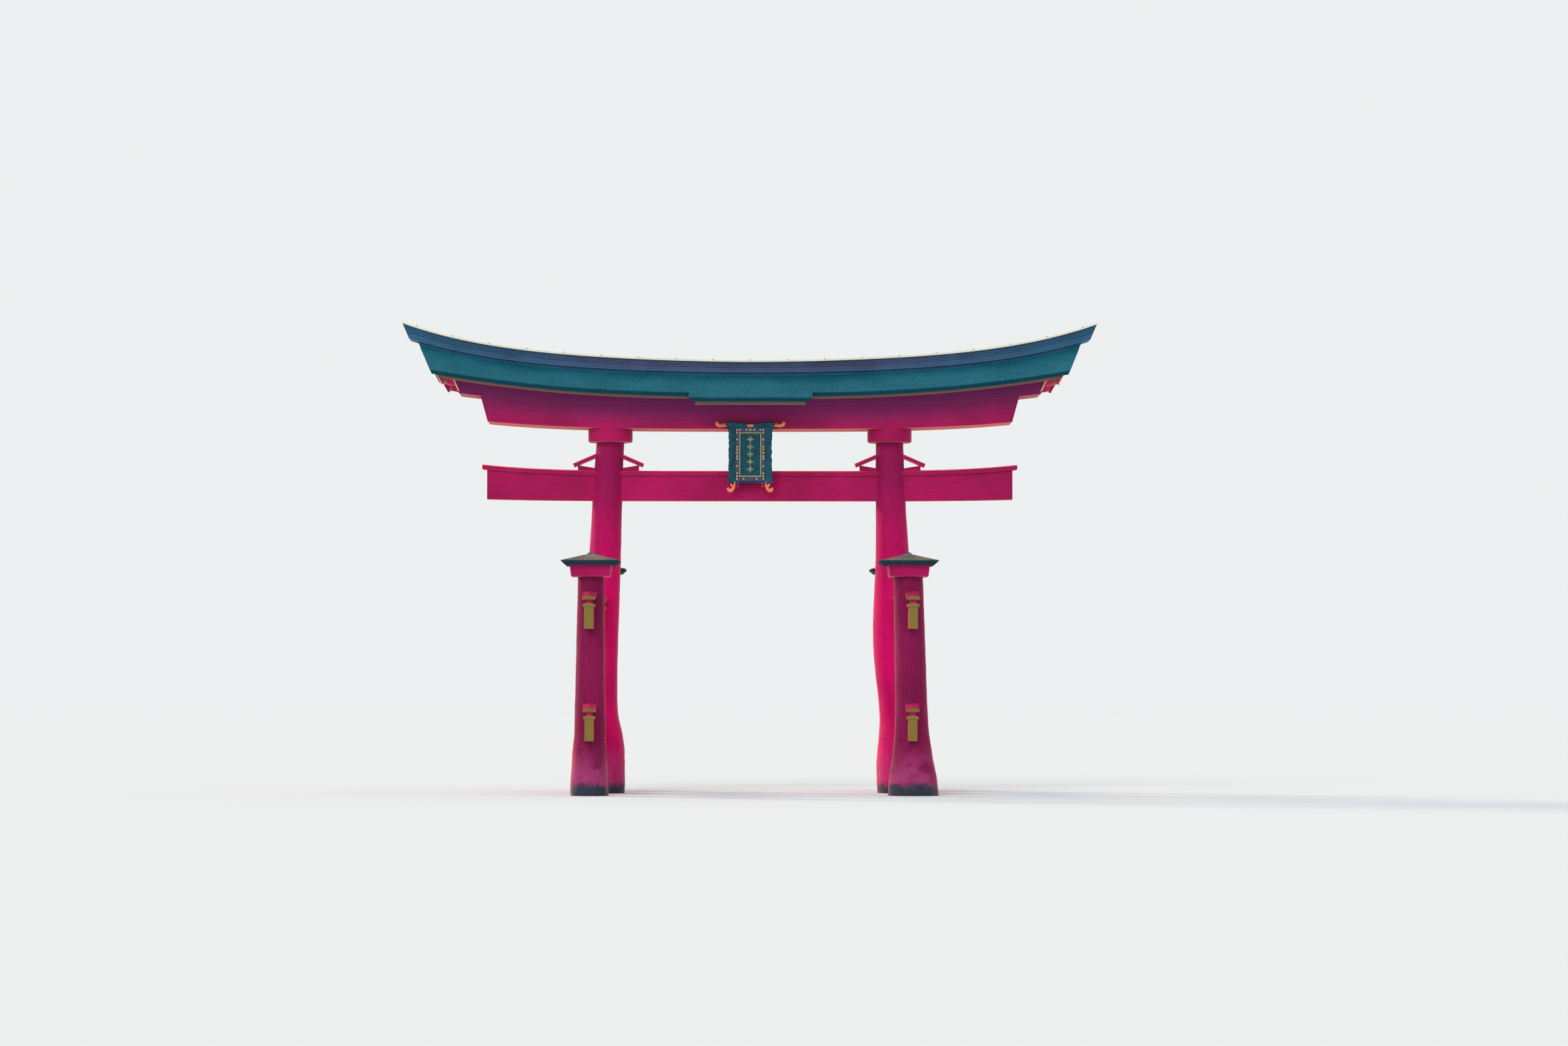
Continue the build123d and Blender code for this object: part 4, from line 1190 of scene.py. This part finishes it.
def carved_frame(wave):
    """Outer frame with rolling carved waves between the band and the outer edge."""
    count, steps = 480, 12
    band = [rectangle_at(i / count, BAND_HALF, BAND_LOW, BAND_HIGH) for i in range(count)]
    rim = [carved_outline(i / count, wave) for i in range(count)]
    loops = [[on_plaque(u, v, 0.0) for u, v in band]]
    for j in range(steps + 1):
        share = j / steps
        roll = sin(pi * min(1, share * 1.1)) ** 0.5
        loop = []
        for (u1, v1), (u2, v2) in zip(band, rim):
            u, v = u1 + (u2 - u1) * share, v1 + (v2 - v1) * share
            curl = rough(u * 13, v * 13) + 0.6 * rough(u * 31, v * 31, 7)
            loop.append(on_plaque(u, v, BAND_W + 0.07 * share**0.8 + 0.026 * curl * roll))
        loops.append(loop)
    loops.append([on_plaque(u * 0.99, v, BAND_W + 0.01) for u, v in rim])
    loops.append([on_plaque(u * 0.97, v, 0.0) for u, v in rim])
    return framed_ring(loops)


class GATE_OT_plaque(GateOperator):
    """Carve the plaque: frame, studded band, gilded line and panel"""

    bl_idname = "gate.plaque"
    bl_label = "Plaque"

    def execute(self, context):
        mesh = carved_frame(context.scene.gate_plaque.wave)
        add_piece("carved_frame", mesh, "plaque_wood", ["plaque_frame"], smooth=60)
        band = (BAND_HALF, BAND_LOW, BAND_HIGH)
        line = (LINE_HALF, LINE_LOW, LINE_HIGH)
        panel = (LINE_HALF - LINE_WIDTH, LINE_LOW + LINE_WIDTH, LINE_HIGH - LINE_WIDTH)
        bevel, low = 0.008, 0.02
        for name, outer, inner, top, slot, node, finish in (
            ("studded_band", band, line, BAND_W, "plaque_wood", "plaque_band", "plaque_band"),
            ("gilded_line", line, panel, LINE_W, "plaque_gilding", "plaque_line", "dull_gold"),
        ):
            loops = [
                rectangle_loop(*outer, low),
                rectangle_loop(*outer, top - bevel),
                rectangle_loop(outer[0] - bevel, outer[1] + bevel, outer[2] - bevel, top),
                rectangle_loop(inner[0] + bevel, inner[1] - bevel, inner[2] + bevel, top),
                rectangle_loop(*inner, top - bevel),
                rectangle_loop(*inner, low),
            ]
            add_piece(name, framed_ring(loops), slot, [node], finish)
        mesh = ring_mesh([rectangle_loop(*panel, 0.0), rectangle_loop(*panel, PANEL_W)])
        add_piece("lacquer_panel", mesh, "plaque_wood", ["plaque_panel"])
        return {"FINISHED"}


def stud_tree():
    """Round studs on the points of a mesh, flattened and turned to the board."""
    kinds = {"Radius": "Float", "Turn": "Vector", "Gilding": "Material"}
    nodes, v = geometry_tree("Studs", kinds)
    sizes = {"Segments": 16, "Rings": 10, "Radius": v["Radius"]}
    ball = nodes.node("GeometryNodeMeshUVSphere", inputs=sizes)
    smooth = nodes.node("GeometryNodeSetShadeSmooth", inputs=[ball])
    studs = nodes.copies(v["Geometry"], smooth, v["Turn"], (1.0, 1.0, STUD_FLATNESS))
    return end_tree(nodes, studs, v["Gilding"])


class GATE_OT_studs(GateOperator):
    """Set the studs round the plaque's band"""

    bl_idname = "gate.studs"
    bl_label = "Plaque studs"

    def execute(self, context):
        column = (0.13, 0.225, 0.33, 0.58, 0.83, 0.925, 1.165, 1.26, 1.51, 1.755, 1.85)
        places = [(STUD_X, v) for v in column]
        places += [(0.137, 1.85), (0.352, 1.85), (0.225, 0.13)]
        spots = [on_plaque(side * u, v, BAND_W) for u, v in places for side in (-1, 1)]
        values = {
            "Radius": context.scene.gate_plaque.stud,
            "Turn": BOARD_TURN,
            "Gilding": FINISHES["stud_gold"],
        }
        grow("plaque_studs", stud_tree(), values, points_mesh(spots))
        return {"FINISHED"}


def tube_mesh(work, path, sides=14):
    """Add a round tube of changing radius to a bmesh: path holds (u, v, w, radius)."""
    rings = []
    for i, (u, v, w, radius) in enumerate(path):
        before = path[max(i - 1, 0)]
        after = path[min(i + 1, len(path) - 1)]
        way = Vector((after[0] - before[0], after[1] - before[1], 0)).normalized()
        across = Vector((-way.y, way.x, 0))
        ring = []
        for j in range(sides):
            angle = 2 * pi * j / sides
            spot = Vector((u, v, w)) + across * radius * cos(angle)
            spot += Vector((0, 0, 1)) * radius * 0.75 * sin(angle)
            ring.append(work.verts.new(on_plaque(*spot)))
        rings.append(ring)
    for first, last in zip(rings, rings[1:]):
        for j in range(sides):
            k = (j + 1) % sides
            work.faces.new((first[j], first[k], last[k], last[j]))
    work.faces.new(rings[0][::-1])
    work.faces.new(rings[-1])


def eased_path(points, steps=8):
    """Smooth path through (u, v, w, radius) points."""
    path = []
    for i in range(len(points) - 1):
        before = Vector(points[max(i - 1, 0)])
        first, last = Vector(points[i]), Vector(points[i + 1])
        after = Vector(points[min(i + 2, len(points) - 1)])
        for step in range(steps):
            t = step / steps
            curve = 2 * before - 5 * first + 4 * last - after
            twist = 3 * first - before - 3 * last + after
            path.append(0.5 * (2 * first + (last - before) * t + curve * t**2 + twist * t**3))
    path.append(Vector(points[-1]))
    return [tuple(point) for point in path]


# Strokes of the right-hand scrolls at the plaque's top and foot, as (u, v, w, radius)
SCROLLS = (
    [(0.79, 1.97, 0.16, 0.02), (0.9, 1.985, 0.17, 0.035), (1.0, 1.985, 0.17, 0.05),
     (1.08, 2.0, 0.17, 0.062), (1.14, 2.045, 0.17, 0.072), (1.155, 2.09, 0.17, 0.06),
     (1.12, 2.115, 0.17, 0.035)],
    [(0.91, 1.99, 0.18, 0.035), (0.895, 2.05, 0.18, 0.036), (0.91, 2.1, 0.18, 0.02)],
    [(1.0, 2.0, 0.18, 0.036), (1.0, 2.045, 0.18, 0.026), (1.015, 2.06, 0.18, 0.014)],
    [(0.53, 0.04, 0.17, 0.03), (0.548, -0.08, 0.17, 0.045), (0.59, -0.19, 0.17, 0.06),
     (0.655, -0.262, 0.17, 0.064), (0.725, -0.262, 0.17, 0.065), (0.765, -0.215, 0.17, 0.052),
     (0.745, -0.172, 0.17, 0.03)],
    [(0.6, -0.13, 0.18, 0.04), (0.655, -0.08, 0.18, 0.042), (0.665, -0.035, 0.18, 0.022)],
)  # fmt: skip
# Petals as (u, v, half width, half height), and how high they stand
CROWN = ((0.0, 2.0, 0.055, 0.06), (-0.068, 2.0, 0.05, 0.05), (0.068, 2.0, 0.05, 0.05))
CROWN_W = 0.19
LEAVES = ((0.325, 0.0, 0.03, 0.055), (0.285, 0.025, 0.032, 0.035), (0.365, 0.025, 0.032, 0.035))
LEAVES_W = 0.13
PETAL_DEPTH = 0.03


def petals_mesh(petals, level):
    """Rounded petals on the plaque: petals holds (u, v, half width, half height)."""
    turn = Matrix([[*row, 0.0] for row in zip(PLAQUE_U, PLAQUE_V, PLAQUE_W)] + [[0, 0, 0, 1]])
    work = bmesh.new()
    for u, v, radius, high in petals:
        place = Matrix.Translation(on_plaque(u, v, level)) @ turn
        place = place @ Matrix.Diagonal((radius, high, PETAL_DEPTH, 1.0))
        bmesh.ops.create_uvsphere(work, u_segments=20, v_segments=12, radius=1, matrix=place)
    return made_mesh(work)


class GATE_OT_scrolls(GateOperator):
    """Add the gilded scrolls at the plaque's corners and its crown"""

    bl_idname = "gate.scrolls"
    bl_label = "Plaque scrolls"

    def execute(self, context):
        work = bmesh.new()
        for stroke in SCROLLS:
            for side in (-1, 1):
                mirrored = [(side * u, v, w, radius) for u, v, w, radius in stroke]
                tube_mesh(work, eased_path(mirrored))
        bmesh.ops.recalc_face_normals(work, faces=work.faces)
        mesh = made_mesh(work)
        add_piece("gilded_scrolls", mesh, "plaque_gilding", ["plaque_scrolls"], smooth=50)
        mesh = petals_mesh(CROWN, CROWN_W)
        add_piece("gilded_crown", mesh, "plaque_gilding", ["plaque_crown"], smooth=50)
        leaves = [(side * u, *leaf) for side in (-1, 1) for u, *leaf in LEAVES]
        mesh = petals_mesh(leaves, LEAVES_W)
        add_piece("band_leaves", mesh, "plaque_wood", finish="plaque_band", smooth=50)
        return {"FINISHED"}


def flower_tree():
    """Flat flowers with rounded petals on the points of a mesh."""
    kinds = {"Petals": "Int", "Radius": "Float", "Turn": "Vector", "Gilding": "Material"}
    nodes, v = geometry_tree("Flowers", kinds)
    transform = "GeometryNodeTransform"
    sizes = {"Segments": 12, "Rings": 8, "Radius": 1.0}
    ball = nodes.node("GeometryNodeMeshUVSphere", inputs=sizes)
    spread = {"Geometry": ball, "Translation": (1.0, 0.0, 0.0), "Scale": (0.8, 0.5, 0.16)}
    petal = nodes.node(transform, inputs=spread)
    heart = nodes.node(transform, inputs={"Geometry": ball, "Scale": (0.45, 0.45, 0.3)})
    ring = nodes.node("GeometryNodeMeshCircle", inputs={"Vertices": v["Petals"], "Radius": 0.001})
    index = nodes.node("GeometryNodeInputIndex")
    turn = nodes.join(0.0, 0.0, index * (2 * pi) / v["Petals"])
    joined = nodes.tree.nodes.new("GeometryNodeJoinGeometry")
    for part in (nodes.copies(ring, petal, turn), heart):
        nodes.tree.links.new(part.socket, joined.inputs[0])
    smooth = nodes.node("GeometryNodeSetShadeSmooth", inputs=[Value(nodes, joined.outputs[0])])
    size = nodes.join(v["Radius"], v["Radius"], v["Radius"])
    return end_tree(nodes, nodes.copies(v["Geometry"], smooth, v["Turn"], size), v["Gilding"])


class GATE_OT_flowers(GateOperator):
    """Set the round flowers on the band and the lozenge flowers down the panel"""

    bl_idname = "gate.flowers"
    bl_label = "Plaque flowers"

    def execute(self, context):
        tree = flower_tree()
        rosettes = [(-STUD_X, 1.045, BAND_W), (STUD_X, 1.045, BAND_W), (0.0, 1.85, BAND_W)]
        flowers = [(0.0, v, PANEL_W) for v in (0.47, 0.73, 0.99, 1.25, 1.51)]
        for name, places, petals, radius in (
            ("plaque_rosettes", rosettes, 6, 0.033),
            ("plaque_flowers", flowers, 4, 0.062),
        ):
            values = {
                "Petals": petals,
                "Radius": radius,
                "Turn": BOARD_TURN,
                "Gilding": FINISHES["dull_gold"],
            }
            spots = points_mesh([on_plaque(*place) for place in places])
            grow(name, tree, values, spots)
        return {"FINISHED"}


CAMERA_PLACE = (-1.0, -130.0, 3.0)
CAMERA_YAW = radians(0.963)
CAMERA_PITCH = radians(2.817)
CAMERA_LENS = 85.68


class GATE_OT_stage(GateOperator):
    """Lay the floor and set the lights, the backdrop and the camera"""

    bl_idname = "gate.stage"
    bl_label = "Stage"

    def execute(self, context):
        settings = context.scene.gate_stage
        scene = context.scene
        reach = 900.0
        mesh = bpy.data.meshes.new("floor")
        corners = [(-reach, -reach, 0), (reach, -reach, 0), (reach, reach, 0), (-reach, reach, 0)]
        mesh.from_pydata(corners, [], [(0, 1, 2, 3)])
        floor = bpy.data.objects.new("floor", mesh)
        scene.collection.objects.link(floor)
        plain = Finish("Floor", 0.9, specular=0.0)
        plain.shader.inputs["Base Color"].default_value = linear(settings.floor)
        mesh.materials.append(plain.material)

        world = bpy.data.worlds.new("Soft light")
        world.use_nodes = True
        scene.world = world
        w = Nodes(world.node_tree)
        world.node_tree.nodes.clear()
        path = w.node("ShaderNodeLightPath", output="Is Camera Ray")
        seen = path.maths("MAXIMUM", path, path.out("Is Glossy Ray"))
        seen = path.maths("MAXIMUM", seen, path.out("Is Transmission Ray"))
        show = w.node("ShaderNodeBackground", inputs=[linear(settings.backdrop), 1.0])
        light = w.node("ShaderNodeBackground", inputs=[(1.0, 0.99, 0.98, 1), settings.fill])
        sky = w.node("ShaderNodeMixShader", inputs=[seen, light, show])
        sink = world.node_tree.nodes.new("ShaderNodeOutputWorld")
        world.node_tree.links.new(sky.socket, sink.inputs[0])

        for name, strength, colour, spread, way in (
            ("key", settings.key, (1.0, 0.98, 0.96), 30, (0.45, 1.0, -0.75)),
            ("rim", settings.rim, (1.0, 0.72, 0.52), 12, (0.9, -0.62, -0.42)),
        ):
            data = bpy.data.lights.new(name, "SUN")
            data.energy = strength
            data.color = colour
            data.angle = radians(spread)
            lamp = bpy.data.objects.new(name, data)
            lamp.rotation_euler = Vector(way).to_track_quat("-Z", "Y").to_euler()
            lamp.location = (0, 0, 30)
            scene.collection.objects.link(lamp)

        data = bpy.data.cameras.new("view")
        data.lens = CAMERA_LENS
        data.sensor_width = 36.0
        data.clip_end = 3000.0
        camera = bpy.data.objects.new("view", data)
        camera.location = CAMERA_PLACE
        camera.rotation_euler = (pi / 2 + CAMERA_PITCH, 0.0, -CAMERA_YAW)
        scene.collection.objects.link(camera)
        scene.camera = camera
        scene.view_settings.view_transform = "Standard"
        return {"FINISHED"}


OPERATORS = (
    GATE_OT_paint,
    GATE_OT_trunks,
    GATE_OT_bark,
    GATE_OT_eave_lines,
    GATE_OT_post_roofs,
    GATE_OT_ridge,
    GATE_OT_clips,
    GATE_OT_plaque,
    GATE_OT_studs,
    GATE_OT_flowers,
    GATE_OT_scrolls,
    GATE_OT_stage,
)


class GATE_PT_panel(bpy.types.Panel):
    """The gate's pieces, in the order in which they are made"""

    bl_label = "Torii gate"
    bl_idname = "GATE_PT_panel"
    bl_space_type = "VIEW_3D"
    bl_region_type = "UI"
    bl_category = "Torii"

    def draw(self, context):
        column = self.layout.column()
        for operator in OPERATORS:
            column.operator(operator.bl_idname)


def register():
    for name, settings in SETTINGS.items():
        bpy.utils.register_class(settings)
        setattr(bpy.types.Scene, name, PointerProperty(type=settings))
    for operator in OPERATORS:
        bpy.utils.register_class(operator)
    bpy.utils.register_class(GATE_PT_panel)


def unregister():
    bpy.utils.unregister_class(GATE_PT_panel)
    for operator in reversed(OPERATORS):
        bpy.utils.unregister_class(operator)
    for name, settings in SETTINGS.items():
        delattr(bpy.types.Scene, name)
        bpy.utils.unregister_class(settings)


def main():
    """Make the whole gate."""
    register()
    for operator in OPERATORS:
        group, name = operator.bl_idname.split(".")
        getattr(getattr(bpy.ops, group), name)()


if __name__ == "__main__":
    main()
